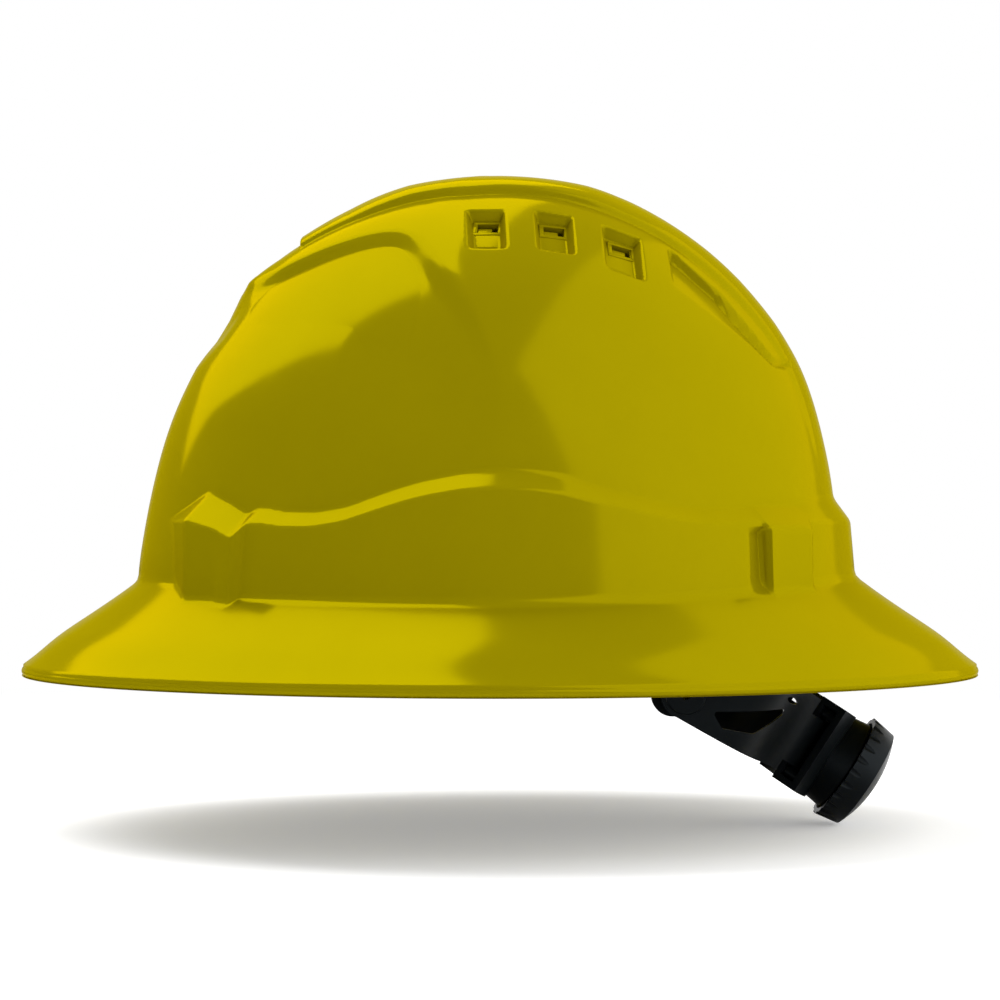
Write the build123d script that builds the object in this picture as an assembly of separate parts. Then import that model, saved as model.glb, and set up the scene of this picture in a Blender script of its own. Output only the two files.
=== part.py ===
from build123d import *
import math
import os

os.makedirs("parts", exist_ok=True)

# Full brim hard hat in millimetres. +Z is up, the front of the hat faces -Y, and the wearer's left is +X.
# The origin is the middle of the plane in which the brim's lower edge lies.

# Shell: brim
brim_length = 325.0
brim_width = 276.0
brim_edge_height = 3.2
brim_lip = 3.0
brim_drop = 3.2
brim_join_height = 30.5
brim_tuck = 2.0

# Shell: crown, given by its reach from the middle to the front, rear and sides where the brim joins it
crown_front = 123.4
crown_rear = 117.5
crown_side = 104.0
crown_rise = 135.5
wall = 2.4
crown_foot = 6.0

# Crown sections from the foot up: height, then front, rear and side reach, as shares of the sizes above
crown_section_shares = [
    (0.114, 0.986, 0.983, 0.992),
    (0.266, 0.953, 0.960, 0.962),
    (0.418, 0.903, 0.921, 0.909),
    (0.570, 0.823, 0.851, 0.827),
    (0.671, 0.754, 0.770, 0.750),
    (0.772, 0.660, 0.664, 0.649),
    (0.848, 0.555, 0.562, 0.548),
    (0.911, 0.442, 0.447, 0.437),
    (0.956, 0.328, 0.336, 0.330),
    (0.985, 0.200, 0.206, 0.204),
    (0.9975, 0.084, 0.087, 0.086),
]

# Brim sections from the crown outwards: height over the brim join height, reach between crown and edge
brim_section_shares = [(0.833, 0.220), (0.607, 0.483), (0.384, 0.729), (0.200, 0.900)]

# Shell: centre ridge
ridge_rise = 3.4
ridge_front_y = -66.0
ridge_rear_y = 96.0
ridge_front_half_width = 25.5
ridge_half_width = 34.0
ridge_widen_y = -15.0

# Shell: raised band round the sides and rear, with a wavy top
band_side = 108.6
band_front = 127.6
band_rear = 121.6
band_bottom = 26.5
band_draft = 3.4
band_height = 46.0
band_slope = 4.2
band_start_y = -88.0
wave_crest_y = 1.0
wave_crest_z = 62.7
wave_front_valley_y = -62.0
wave_front_valley_z = 50.4
wave_rear_valley_y = 68.0
wave_rear_valley_z = 51.4
wave_rear_z = 51.4
wave_rear_y = 95.0
groove_y = 83.0
groove_width = 5.4
groove_depth = 4.5
groove_backing = 8.0

# Shell: front block beside the band
block_x = 76.4
block_y = -93.0
block_turn = -41.4
block_width = 21.3
block_depth = 13.0
block_top = 51.0
block_round = 3.0

# Shell: vents in the upper sides
vent_rows_y = [-4.4, 17.9, 40.3]
vent_rows_z = [146.7, 145.7, 139.2]
vent_width = 13.0
vent_height = 22.4
vent_depth = 4.2
vent_hole_width = 6.8
vent_hole_height = 4.8
vent_hole_lift = 4.0
vent_tab_width = 5.2
vent_tab_height = 2.6
vent_tab_depth = 1.6

# Shell: bare recessed place behind the vents
panel_front_y = 56.0
panel_rear_y = 90.0
panel_top_front_z = 142.0
panel_low_front_z = 129.0
panel_rear_z = 105.0
panel_depth = 1.0

# Hanger keys and their sockets in the shell
cross_y = 9.5
front_key_turn = -56.2
key_width = 24.0
key_thickness = 2.4
key_plate = 2.2
key_plate_bottom = 12.5
key_lug_width = 10.0
key_shoulder = 0.8
key_peg_height = 19.0
key_peg_radius = 2.2
key_bridge_bottom = 21.6
key_tab_top = 45.5
key_slot_bottom = 28.4
key_slot_top = 31.0
key_slot_width = 19.4
key_bar_top = 34.0
key_round = 1.0
socket_bottom = 27.0
socket_top = 50.0
socket_wall = 2.2
socket_gap = 0.3
socket_gauge_height = 40.0

# Headband
headband_side = 79.0
headband_length = 196.0
headband_middle_y = -2.0
headband_thickness = 1.8
headband_bottom = -3.5
headband_top = 26.0
headband_rear_bottom = 12.0
headband_gap = 56.0
headband_tab_y = 55.6
headband_tab_radius = 7.4
headband_rear_start = 9.0
key_clearance = 0.2
peg_clearance = 0.1
peg_setback = 0.6

# Sweatband
sweatband_thickness = 2.6
sweatband_end_y = -46.0
sweatband_bottom = -2.5
sweatband_top = 24.5
sweatband_clearance = 0.15

# Crown straps
strap_width = 18.0
strap_thickness = 1.2
strap_top = 118.0
strap_step = 2.0
strap_spring_height = 40.0
strap_tail_top = 37.0
strap_slot_gap = 0.4
strap_clearance = 0.15

# Nape pivots, in the headband's boss
pivot_reach = 73.0
pivot_y = 59.0
pivot_z = -3.0
nape_slope = 33.0
boss_radius = 7.8
boss_web = 2.4
button_shank = 3.0
button_head_radius = 6.4
button_head = 1.8
button_flange_radius = 5.2
button_flange = 1.6
button_bore = 1.4
running_clearance = 0.05
flange_clearance = 0.3
eye_radius = 7.6
eye_clearance = 0.6
eye_inner_play = 1.6
eye_outer_play = 0.7

# Nape arms and their racks. Arms are drawn in the nape plane, in which u runs back along the slope and n
# stands square to it.
arm_wall = 1.6
rack_line = 7.8
rack_arc = 54.1
rack_layer_step = 2.2
arm_end_turn = 40.0
arm_straight = 9.0
arm_end_u = 42.1
arm_low_end_n = -5.1
arm_high_end_n = 22.4
tongue_height = 18.0
tongue_tip = 21.0
tongue_end_round = 5.0
slot_tip = 17.5
slot_root = 13.5
arm_hole_length = 5.0
arm_hole_width = 2.0

# Arm's side view: top edge, window and small hole, as shares of the arm's end reach and of its high end
arm_top_shares = [(0.070, 0.313), (0.731, 0.929), (0.850, 1.0), (1.0, 1.0)]
arm_window_shares = [
    (0.238, 0.010),
    (0.368, -0.120),
    (0.608, 0.050),
    (0.700, 0.330),
    (0.745, 0.500),
    (0.743, 0.616),
]
arm_hole_share = (0.757, 0.754)

# Ratchet: gear teeth
teeth = 8
gear_module = 1.25
pressure_angle = 28.0
gear_backlash = 0.32
pinion_addendum = 0.95
rack_addendum = 0.94
root_clearance = 0.35
rack_side_clearance = 0.6
rack_teeth_tip_side = 4
rack_teeth_root_side = 3

# Ratchet: housing
housing_half_turn = 29.0
housing_height = 32.0
base_thickness = 1.8
layer_clearance = 0.8
cover_wall = 2.4
cover_side_wall = 2.2
collar_radius = 14.4
collar_rim_radius = 16.4
collar_reach = 64.9
collar_floor = 60.0
collar_bore = 12.6
detent_count = 24
detent_radius = 0.9
stake_turn = 25.0
stake_radius = 1.5
stake_post_radius = 2.1
stake_offset = 11.6

# Ratchet: turning parts
pinion_bottom_gap = 0.5
journal_radius = 3.0
shaft_radius = 4.0
disc_gap = 0.3
disc_thickness = 1.5
pawl_reach = 12.2
pawl_hub_radius = 6.5
pawl_arm_inner = 8.4
pawl_arm_outer = 10.2
pawl_arm_turn = 100.0
pawl_tip_width = 1.6
screw_radius = 1.4
screw_hole_clearance = 0.05
screw_head_radius = 3.3
screw_head = 1.6
journal_stand = 0.2
screw_depth = 8.0

# Knob
knob_inner_u = 65.3
knob_outer_u = 73.6
knob_dome_u = 77.6
knob_radius = 19.25
knob_outer_radius = 17.9
knob_wall = 2.0
knob_hub_radius = 5.5
flute_count = 24
flute_radius = 1.5
flute_depth = 0.7

# Nape pad
pad_thickness = 5.0
pad_half_turn = 25.0
pad_height = 28.0
pad_round = 1.6
pad_pocket_radius = 4.6
pad_clearance = 0.1

# Overrun for all cuts
over = 12.0


def plan_wire(side, front, rear, height):
    """An egg-shaped outline in plan: a front half ellipse and a rear half ellipse."""
    middle = Plane.XY.offset(height)
    front_half = Edge.make_ellipse(side, front, middle, 180, 360)
    rear_half = Edge.make_ellipse(side, rear, middle, 0, 180)
    return Wire([front_half, rear_half])


def plan_block(side, front, rear, low, high):
    """A straight-sided block with the egg-shaped plan."""
    ends = [plan_wire(side, front, rear, low), plan_wire(side, front, rear, high)]
    return Solid.make_loft(ends, True)


def crown_solid(inset, extra_rise):
    """The crown as a closed dome, inset all over from the outer surface."""
    side = crown_side - inset
    front = crown_front - inset
    rear = crown_rear - inset
    rise = crown_rise - inset + extra_rise
    sections = [
        plan_wire(side, front, rear, brim_join_height - crown_foot),
        plan_wire(side, front, rear, brim_join_height),
    ]
    for height_share, front_share, rear_share, side_share in crown_section_shares:
        sections.append(
            plan_wire(
                side * side_share,
                front * front_share,
                rear * rear_share,
                brim_join_height + rise * height_share,
            )
        )
    sections.append(Vertex(0, 0, brim_join_height + rise))
    return Solid.make_loft(sections)


def brim_reach(share):
    """Side and lengthwise reach of the brim at a share of the way from crown to edge."""
    side = crown_side + (brim_width / 2 - crown_side) * share
    length = crown_front + (brim_length / 2 - crown_front) * share
    return side, length


def brim_solid(drop, edge_inset):
    """The space under the brim's surface, lowered by drop and cut off at the brim's edge."""
    side = crown_side - brim_tuck
    length = crown_front - brim_tuck
    sections = [plan_wire(side, length, length, brim_join_height + brim_tuck - drop)]
    for height_share, reach_share in [*brim_section_shares, (brim_edge_height / brim_join_height, 1)]:
        side, length = brim_reach(reach_share)
        side -= edge_inset
        length -= edge_inset
        sections.append(plan_wire(side, length, length, brim_join_height * height_share - drop))
    return Solid.make_loft(sections)


def wave_block(lift, low, start_y):
    """All that lies under the band's wavy top edge, from side to side."""
    top = Spline(
        (start_y, wave_front_valley_z + lift),
        (wave_front_valley_y, wave_front_valley_z + lift),
        (wave_crest_y, wave_crest_z + lift),
        (wave_rear_valley_y, wave_rear_valley_z + lift),
        (wave_rear_y, wave_rear_z + lift),
        tangents=[(1, 0), (1, 0)],
    )
    rear_y = band_rear + over
    outline = Polyline(
        (wave_rear_y, wave_rear_z + lift), (rear_y, wave_rear_z + lift), (rear_y, low), (start_y, low),
        (start_y, wave_front_valley_z + lift),
    )
    face = Plane.YZ * make_face([top.edge(), *outline.edges()])
    half = band_side + over
    return extrude(face, half, both=True)


def band_solid(inset):
    """The raised band with its sloping top, inset all over from its outer surface."""
    low_z = band_bottom - inset
    grow = inset + band_draft
    low_end = plan_wire(band_side - inset, band_front - inset, band_rear - inset, low_z)
    high_end = plan_wire(band_side - grow, band_front - grow, band_rear - grow, low_z + band_height)
    sides = Solid.make_loft([low_end, high_end], True)
    band = sides & wave_block(band_slope - inset, low_z, band_start_y + inset)
    rims = [
        edge
        for edge in band.edges()
        if edge.center().Z > wave_front_valley_z - inset and edge.geom_type != GeomType.LINE
    ]
    inner_side = crown_side / 2
    outer_rims = [edge for edge in rims if abs(edge.center().X) > inner_side or edge.center().Y > crown_side]
    return chamfer(outer_rims, band_slope)


def share_at(z):
    """Front, rear and side reach of the crown at height z, read between its sections."""
    wanted = (z - brim_join_height) / crown_rise
    lower = (0, 1, 1, 1)
    for upper in crown_section_shares:
        if upper[0] >= wanted:
            part = (wanted - lower[0]) / (upper[0] - lower[0])
            shares = [low + (high - low) * part for low, high in zip(lower[1:], upper[1:])]
            return crown_front * shares[0], crown_rear * shares[1], crown_side * shares[2]
        lower = upper
    return 0, 0, 0


def crown_x(y, z):
    """Distance from the middle plane to the crown's surface at the place y, z."""
    front, rear, side = share_at(z)
    length = rear if y > 0 else front
    return side * math.sqrt(1 - (y / length) ** 2)


def vent_plane(y, z):
    """A plane on the crown's left side at a vent, facing outwards, with its Y axis up the slope."""
    x = crown_x(y, z)
    back = Vector(crown_x(y + vent_width / 2, z) - crown_x(y - vent_width / 2, z), vent_width, 0)
    up = Vector(crown_x(y, z + vent_width / 2) - crown_x(y, z - vent_width / 2), 0, vent_width)
    return Plane(origin=(x, y, z), x_dir=back.normalized(), z_dir=back.cross(up).normalized())


def both_sides(piece):
    """A piece and its mirror image on the other side of the hat."""
    return piece, mirror(piece, Plane.YZ)


def ray_reach(turn, side, front, rear, middle_y):
    """Distance from the straps' crossing to an egg-shaped outline, along a direction in plan."""
    across = math.cos(math.radians(turn))
    along = math.sin(math.radians(turn))
    length = rear if along > 0 else front
    start = cross_y - middle_y
    a = (across / side) ** 2 + (along / length) ** 2
    b = 2 * start * along / length**2
    c = (start / length) ** 2 - 1
    return (-b + math.sqrt(b * b - 4 * a * c)) / (2 * a)


def key_places():
    """The six hanger keys: name and the direction of each, in plan, from the straps' crossing."""
    return [
        ("left_front_key", front_key_turn),
        ("left_side_key", 0),
        ("left_rear_key", -front_key_turn),
        ("right_front_key", 180 - front_key_turn),
        ("right_side_key", 180),
        ("right_rear_key", 180 + front_key_turn),
    ]


def key_frame(turn):
    """A plane at the crossing whose X axis points along the key's direction and whose Z axis is up."""
    across = math.cos(math.radians(turn))
    along = math.sin(math.radians(turn))
    return Plane(origin=(0, cross_y, 0), x_dir=(across, along, 0), z_dir=(0, 0, 1))


def band_reach(turn):
    """Distance from the crossing to the headband's outer face."""
    length = headband_length / 2 + headband_thickness
    return ray_reach(turn, headband_side + headband_thickness, length, length, headband_middle_y)


def plate_reach(turn):
    """Distance from the crossing to the middle of the key's plate, which clears the slanting headband."""
    outer = band_reach(turn)
    across = outer * math.cos(math.radians(turn)) / (headband_side + headband_thickness) ** 2
    along = cross_y - headband_middle_y + outer * math.sin(math.radians(turn))
    along = along / (headband_length / 2 + headband_thickness) ** 2
    slant = abs(math.atan2(along, across) - math.radians(turn)) % math.pi
    slant = min(slant, math.pi - slant)
    return outer + key_clearance + key_lug_width / 2 * math.tan(slant) + key_plate / 2


def tab_reach(turn):
    """Distance from the crossing to the middle of the key's tab in its socket."""
    front, rear, side = share_at(socket_gauge_height)
    return ray_reach(turn, side - wall, front - wall, rear - wall, 0)


def box_between(x0, x1, y0, y1, z0, z1):
    """A block given by its six faces."""
    return Pos((x0 + x1) / 2, (y0 + y1) / 2, (z0 + z1) / 2) * Box(x1 - x0, y1 - y0, z1 - z0)


def make_shell():
    outer = crown_solid(0, 0) + brim_solid(0, 0)
    side, length = brim_reach(1)
    outer += plan_block(side, length, length, 0, brim_edge_height)

    ridge = crown_solid(0, ridge_rise)
    ridge_plan = make_face(
        Polyline(
            (-ridge_front_half_width, ridge_front_y),
            (ridge_front_half_width, ridge_front_y),
            (ridge_half_width, ridge_widen_y),
            (ridge_half_width, ridge_rear_y),
            (-ridge_half_width, ridge_rear_y),
            (-ridge_half_width, ridge_widen_y),
            close=True,
        )
    )
    ridge = ridge & extrude(Plane.XY.offset(brim_join_height) * ridge_plan, crown_rise + over)
    outer += ridge

    band = band_solid(0)
    outer += band
    for hand in (-1, 1):
        turn = block_turn if hand > 0 else 180 - block_turn
        place = Pos(hand * block_x, block_y, 0) * Rot(0, 0, turn)
        block = box_between(-block_depth, 0, -block_width / 2, block_width / 2, band_bottom, block_top)
        block = fillet(block.edges().filter_by(Axis.Z).sort_by(Axis.X)[2:], block_round)
        block = chamfer(block.faces().sort_by(Axis.Z)[-1].edges().sort_by(Axis.X)[-1], block_round)
        outer += place * block

    inner = crown_solid(wall, 0) + brim_solid(brim_drop, brim_lip)
    inner += band_solid(wall)
    shell = outer - inner

    for name, turn in key_places():
        tab = tab_reach(turn)
        half = key_thickness / 2 + socket_gap
        width = key_width / 2 + socket_gap
        start = tab - half - socket_wall
        side = width + socket_wall
        socket = box_between(start, tab + over, -side, side, socket_bottom, socket_top)
        slot = box_between(tab - half, tab + half, -width, width, 0, key_tab_top + socket_gap)
        frame = key_frame(turn)
        shell += (frame.location * socket) & outer
        shell -= frame.location * slot

    half_width = vent_width / 2
    half_height = vent_height / 2
    hole_half = vent_hole_width / 2
    hole_low = vent_hole_lift
    hole_high = hole_low + vent_hole_height
    floor = -vent_depth - wall
    back_width = half_width + wall
    back_height = half_height + wall
    backing = box_between(-back_width, back_width, -back_height, back_height, floor, 0)
    pocket = box_between(-half_width, half_width, -half_height, half_height, -vent_depth, over)
    hole = box_between(-hole_half, hole_half, hole_low, hole_high, floor - over, over)
    tab_low = hole_low - vent_tab_height / 2
    tab_high = hole_low + vent_tab_height
    tab_side = vent_tab_width - hole_half
    tab = box_between(-hole_half, tab_side, tab_low, tab_high, floor, vent_tab_depth - vent_depth)
    for y, z in zip(vent_rows_y, vent_rows_z):
        place = vent_plane(y, z).location
        for vent_backing in both_sides(place * backing):
            shell += vent_backing & outer
        for vent_cut in (*both_sides(place * pocket), *both_sides(place * hole)):
            shell -= vent_cut
        for vent_tab in both_sides(place * tab):
            shell += vent_tab

    panel = Polyline(
        (panel_front_y, panel_low_front_z), (panel_front_y, panel_top_front_z), (panel_rear_y, panel_rear_z),
        close=True,
    )
    panel = extrude(Plane.YZ * make_face(panel), crown_side) - crown_solid(panel_depth, 0)
    for recess in both_sides(panel):
        shell -= recess

    groove_x = band_side * math.sqrt(1 - (groove_y / band_rear) ** 2)
    groove_turn = math.degrees(math.atan2(groove_y / band_rear**2, groove_x / band_side**2))
    place = Pos(groove_x, groove_y, 0) * Rot(0, 0, groove_turn)
    half = groove_width / 2
    groove = box_between(-groove_depth, over, -half, half, band_bottom + wall, wave_rear_z)
    backing = box_between(-groove_backing, 0, -half - wall, half + wall, band_bottom, wave_rear_z + wall)
    for rib in both_sides(place * backing):
        shell += rib & outer
    for cut in both_sides(place * groove):
        shell -= cut
    return shell


def head_oval(grow, low, high):
    """The oval inside the headband, grown all round, as a block."""
    side = headband_side + grow
    length = headband_length / 2 + grow
    return Pos(0, headband_middle_y, 0) * plan_block(side, length, length, low, high)


def rod_x(start, end, radius, y, z):
    """A round rod along X."""
    return Pos((start + end) / 2, y, z) * Rot(0, 90, 0) * Cylinder(radius, abs(end - start))


boss_face = pivot_reach - arm_wall / 2 - eye_inner_play
boss_recess = boss_face - boss_web
button_face = pivot_reach + arm_wall / 2 + eye_outer_play


def make_headband():
    thickness = headband_thickness
    low = pivot_z - boss_radius - over
    ring = head_oval(thickness, low, headband_top) - head_oval(0, low - over, headband_top + over)
    wide = headband_side + over
    reach = headband_length
    band = ring & box_between(-wide, wide, -reach, reach, headband_bottom, headband_top)
    rear_start = pivot_y + headband_rear_start
    band -= box_between(-wide, wide, rear_start, reach, low, headband_rear_bottom)
    band -= box_between(-headband_gap / 2, headband_gap / 2, 0, reach, low, headband_top + over)
    for hand in (-1, 1):
        tab = rod_x(hand * over, hand * wide, headband_tab_radius, headband_tab_y, pivot_z)
        band += ring & tab
        boss = rod_x(hand * over, hand * boss_face, boss_radius, pivot_y, pivot_z)
        band += boss - head_oval(0, low - over, headband_top + over)
        band -= rod_x(hand * over, hand * wide, button_shank + running_clearance, pivot_y, pivot_z)
        recess_radius = button_flange_radius + flange_clearance
        band -= rod_x(hand * over, hand * boss_recess, recess_radius, pivot_y, pivot_z)
    for name, turn in key_places():
        frame = key_frame(turn)
        plate = plate_reach(turn)
        hole = rod_x(plate - over, plate, key_peg_radius + peg_clearance, 0, key_peg_height)
        band -= frame.location * hole
    return band


def make_sweatband():
    outer = head_oval(-sweatband_clearance, sweatband_bottom, sweatband_top)
    inner_side = sweatband_clearance + sweatband_thickness
    inner = head_oval(-inner_side, sweatband_bottom - over, sweatband_top + over)
    wide = headband_side
    front = box_between(-wide, wide, -headband_length, sweatband_end_y, sweatband_bottom, sweatband_top)
    return (outer - inner) & front


def make_key(turn):
    plate = plate_reach(turn)
    tab = tab_reach(turn)
    half = key_width / 2
    lug_half = key_lug_width / 2
    inner_face = plate - key_plate / 2
    outer_face = plate + key_plate / 2
    shoulder = headband_top + key_shoulder
    key = box_between(inner_face, outer_face, -half, half, shoulder, key_bar_top)
    key = fillet(key.edges().filter_by(Axis.X), key_round)
    lug = box_between(inner_face, outer_face, -lug_half, lug_half, key_plate_bottom, key_slot_bottom)
    key += fillet(lug.edges().filter_by(Axis.X), key_round)
    bridge_top = key_bridge_bottom + key_thickness
    key += box_between(plate, tab, -lug_half, lug_half, key_bridge_bottom, bridge_top)
    upright = box_between(
        tab - key_thickness / 2, tab + key_thickness / 2, -half, half, key_bridge_bottom, key_tab_top
    )
    key += fillet(upright.edges().filter_by(Axis.X), key_round)
    slot_half = key_slot_width / 2
    slot_ends = (plate - key_plate, plate + key_plate)
    key -= box_between(*slot_ends, -slot_half, slot_half, key_slot_bottom, key_slot_top)
    peg_end = band_reach(turn) - headband_thickness + peg_setback
    key += rod_x(peg_end, plate, key_peg_radius, 0, key_peg_height)
    return key_frame(turn).location * key


def make_strap(turn, layer):
    """One webbing strap: a flat band over the head, hooked round the bar of the key at each end."""
    top = strap_top + layer * strap_step
    half = strap_thickness / 2
    rise = top - strap_spring_height
    middle = Plane(origin=(0, 0, strap_spring_height), x_dir=(1, 0, 0), z_dir=(0, -1, 0))
    seat = key_plate / 2 + strap_clearance
    near = plate_reach(turn) - seat - half
    far = plate_reach(turn + 180) - seat - half
    outer_near = Edge.make_ellipse(near + half, rise + half, middle, 0, 90)
    outer_far = Edge.make_ellipse(far + half, rise + half, middle, 90, 180)
    inner_near = Edge.make_ellipse(near - half, rise - half, middle, 0, 90)
    inner_far = Edge.make_ellipse(far - half, rise - half, middle, 90, 180)
    spring = strap_spring_height
    near_end = Edge.make_line((near - half, 0, spring), (near + half, 0, spring))
    far_end = Edge.make_line((-far - half, 0, spring), (-far + half, 0, spring))
    arch = Face(Wire([outer_near, outer_far, far_end, inner_far, inner_near, near_end]))
    width = strap_width / 2
    strap = extrude(arch, width, both=True)
    low = key_slot_bottom + strap_slot_gap
    for side, reach in ((1, near), (-1, far)):
        ends = sorted((side * (reach - half), side * (reach + half)))
        strap += box_between(ends[0], ends[1], -width, width, low, spring)
        outer = reach + half + strap_clearance * 2 + key_plate
        span = sorted((side * (reach - half), side * (outer + strap_thickness)))
        strap += box_between(span[0], span[1], -width, width, low, low + strap_thickness)
        tail = sorted((side * outer, side * (outer + strap_thickness)))
        strap += box_between(tail[0], tail[1], -width, width, low, strap_tail_top)
    return key_frame(turn).location * strap


def make_button(hand):
    flange_start = boss_recess - flange_clearance - button_flange
    head_end = button_face + button_head
    head = rod_x(hand * button_face, hand * head_end, button_head_radius, pivot_y, pivot_z)
    rim = head.faces().sort_by(Axis.X)[-1 if hand > 0 else 0].edges()
    head = fillet(rim, button_head / 2)
    button = head + rod_x(hand * flange_start, hand * button_face, button_shank, pivot_y, pivot_z)
    button += rod_x(
        hand * flange_start, hand * (flange_start + button_flange), button_flange_radius, pivot_y, pivot_z
    )
    button -= rod_x(hand * over, hand * (head_end + over), button_bore, pivot_y, pivot_z)
    return button


# The nape frame: X across, u back along the slope, n square to both. Its origin is between the two pivots.
slope = math.radians(nape_slope)
nape = Plane(
    origin=(0, pivot_y, pivot_z), x_dir=(1, 0, 0), z_dir=(0, math.sin(slope), math.cos(slope))
).location
left_rack_arc = rack_arc - rack_layer_step / 2
right_rack_arc = rack_arc + rack_layer_step / 2
base_outer = left_rack_arc - arm_wall / 2 - layer_clearance
base_inner = base_outer - base_thickness
cover_inner = right_rack_arc + arm_wall / 2 + layer_clearance
cover_outer = cover_inner + cover_wall
pitch_radius = gear_module * teeth / 2
tooth_pitch = math.pi * gear_module
pinion_tip = pitch_radius + pinion_addendum
tooth_half = (tooth_pitch / 2 - gear_backlash / 2) / 2


def sector_face(inner, outer, start_turn, end_turn):
    """A ring sector in the nape plane, with turns measured from u towards +X."""
    start = 90 - end_turn
    size = end_turn - start_turn
    outer_arc = CenterArc((0, 0), outer, start, size)
    inner_arc = CenterArc((0, 0), inner, start, size)
    return make_face([outer_arc.edge(), inner_arc.edge(), Line(outer_arc @ 0, inner_arc @ 0).edge(),
                      Line(outer_arc @ 1, inner_arc @ 1).edge()])


def sector_block(inner, outer, start_turn, end_turn, low, high):
    """A ring sector with a height."""
    return extrude(Pos(0, 0, low) * sector_face(inner, outer, start_turn, end_turn), high - low)


def rod_u(start, end, radius):
    """A round rod along u, on the knob's axis."""
    return Pos(0, (start + end) / 2, rack_line) * Rot(90, 0, 0) * Cylinder(radius, end - start)


def arm_edge(arc, shift):
    """One face of the arm's wall in the nape plane: straight at the eye, then a bend into the rack's arc."""
    turn = math.radians(arm_end_turn)
    reach = arc + shift
    straight = Line((pivot_reach + shift, -eye_radius), (pivot_reach + shift, arm_straight))
    bend = Spline(
        (pivot_reach + shift, arm_straight),
        (reach * math.sin(turn), reach * math.cos(turn)),
        tangents=[(0, 1), (-math.cos(turn), math.sin(turn))],
    )
    tip = math.degrees(tongue_tip / arc)
    rack = CenterArc((0, 0), reach, 90 - arm_end_turn, arm_end_turn + tip)
    return straight, bend, rack


def make_arm(arc, tooth_side):
    """The left-hand arm with its rack; tooth_side is 1 for teeth on the slot's upper edge, or else -1."""
    outer = arm_edge(arc, arm_wall / 2)
    inner = arm_edge(arc, -arm_wall / 2)
    ends = [Line(outer[0] @ 0, inner[0] @ 0), Line(outer[2] @ 1, inner[2] @ 1)]
    wall_face = make_face([piece.edge() for piece in (*outer, *inner, *ends)])
    low = -eye_radius - over
    high = arm_high_end_n + over
    wall_solid = extrude(Pos(0, 0, low) * wall_face, high - low)

    end_u = arm_end_u
    high_n = arm_high_end_n
    outline = [(0, -eye_radius), (end_u, arm_low_end_n)]
    outline += [(u_share * end_u, n_share * high_n) for u_share, n_share in reversed(arm_top_shares)]
    side = make_face(Polyline(*outline, close=True)) + Circle(eye_radius)
    corners = [(u_share * end_u, n_share * high_n) for u_share, n_share in arm_window_shares]
    window = make_face(Polyline(*corners, close=True))
    side -= fillet(window.vertices(), arm_hole_width / 2)
    hole_place = Pos(arm_hole_share[0] * end_u, arm_hole_share[1] * high_n)
    side -= hole_place * Ellipse(arm_hole_length / 2, arm_hole_width / 2)
    side -= Circle(button_shank + eye_clearance)
    tongue_start = end_u - tongue_end_round
    tongue_end = arc + over
    tongue = Rectangle(tongue_end - tongue_start, tongue_height)
    side += Pos((tongue_start + tongue_end) / 2, rack_line) * tongue
    profile = extrude(Plane.YZ * side, pivot_reach + over, both=True)
    arm = wall_solid & profile

    slot_far = pinion_tip + rack_side_clearance
    slot_near = pitch_radius + pinion_addendum + root_clearance
    slot_low = rack_line - (slot_near if tooth_side < 0 else slot_far)
    slot_high = rack_line + (slot_near if tooth_side > 0 else slot_far)
    tip_turn = math.degrees(slot_tip / arc)
    root_turn = math.degrees(slot_root / arc)
    arm -= sector_block(arc - over, arc + over, -tip_turn, root_turn, slot_low, slot_high)
    slant = math.tan(math.radians(pressure_angle))
    tip_half = tooth_half - rack_addendum * slant
    root_rise = slot_near - pitch_radius + root_clearance
    root_half = tooth_half + root_rise * slant
    tooth = make_face(
        Polyline(
            (-tip_half, rack_line + tooth_side * (pitch_radius - rack_addendum)),
            (tip_half, rack_line + tooth_side * (pitch_radius - rack_addendum)),
            (root_half, rack_line + tooth_side * (pitch_radius + root_rise)),
            (-root_half, rack_line + tooth_side * (pitch_radius + root_rise)),
            close=True,
        )
    )
    cutter = Plane(origin=(0, arc, 0), x_dir=(1, 0, 0), z_dir=(0, -1, 0)) * tooth
    tooth_solid = extrude(cutter, arm_wall / 2, both=True)
    for place in range(-rack_teeth_tip_side, rack_teeth_root_side):
        turn = math.degrees((place + 0.5) * tooth_pitch / arc)
        arm += Rot(0, 0, -turn) * tooth_solid
    return arm


def make_pinion():
    """Involute pinion with its journal and shaft; a tooth points straight up the nape frame's n."""
    base_radius = pitch_radius * math.cos(math.radians(pressure_angle))
    root_radius = pitch_radius - rack_addendum - root_clearance

    def roll(radius):
        angle = math.acos(base_radius / radius)
        return math.tan(angle) - angle

    half_turn = tooth_half / pitch_radius + roll(pitch_radius)
    flank = []
    steps = 5
    start = max(base_radius, root_radius)
    for step in range(steps + 1):
        radius = start + (pinion_tip - start) * step / steps
        flank.append((radius, half_turn - roll(radius)))
    points = []
    for tooth in range(teeth):
        middle = math.pi / 2 + 2 * math.pi * tooth / teeth
        side = [(root_radius, half_turn)] + flank
        right = [(radius, middle - turn) for radius, turn in side]
        left = [(radius, middle + turn) for radius, turn in reversed(side)]
        for radius, turn in right + left:
            points.append((radius * math.cos(turn), radius * math.sin(turn)))
    face = make_face(Polyline(*points, close=True))
    low = base_outer + pinion_bottom_gap
    high = cover_inner - pinion_bottom_gap
    plane = Plane(origin=(0, low, rack_line), x_dir=(1, 0, 0), z_dir=(0, 1, 0))
    gear = extrude(plane * face, high - low)
    gear += rod_u(base_inner - journal_stand, low, journal_radius)
    gear += rod_u(high, collar_floor + disc_gap, shaft_radius)
    return gear - rod_u(base_inner - over, collar_floor + over, screw_radius + screw_hole_clearance)


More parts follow.
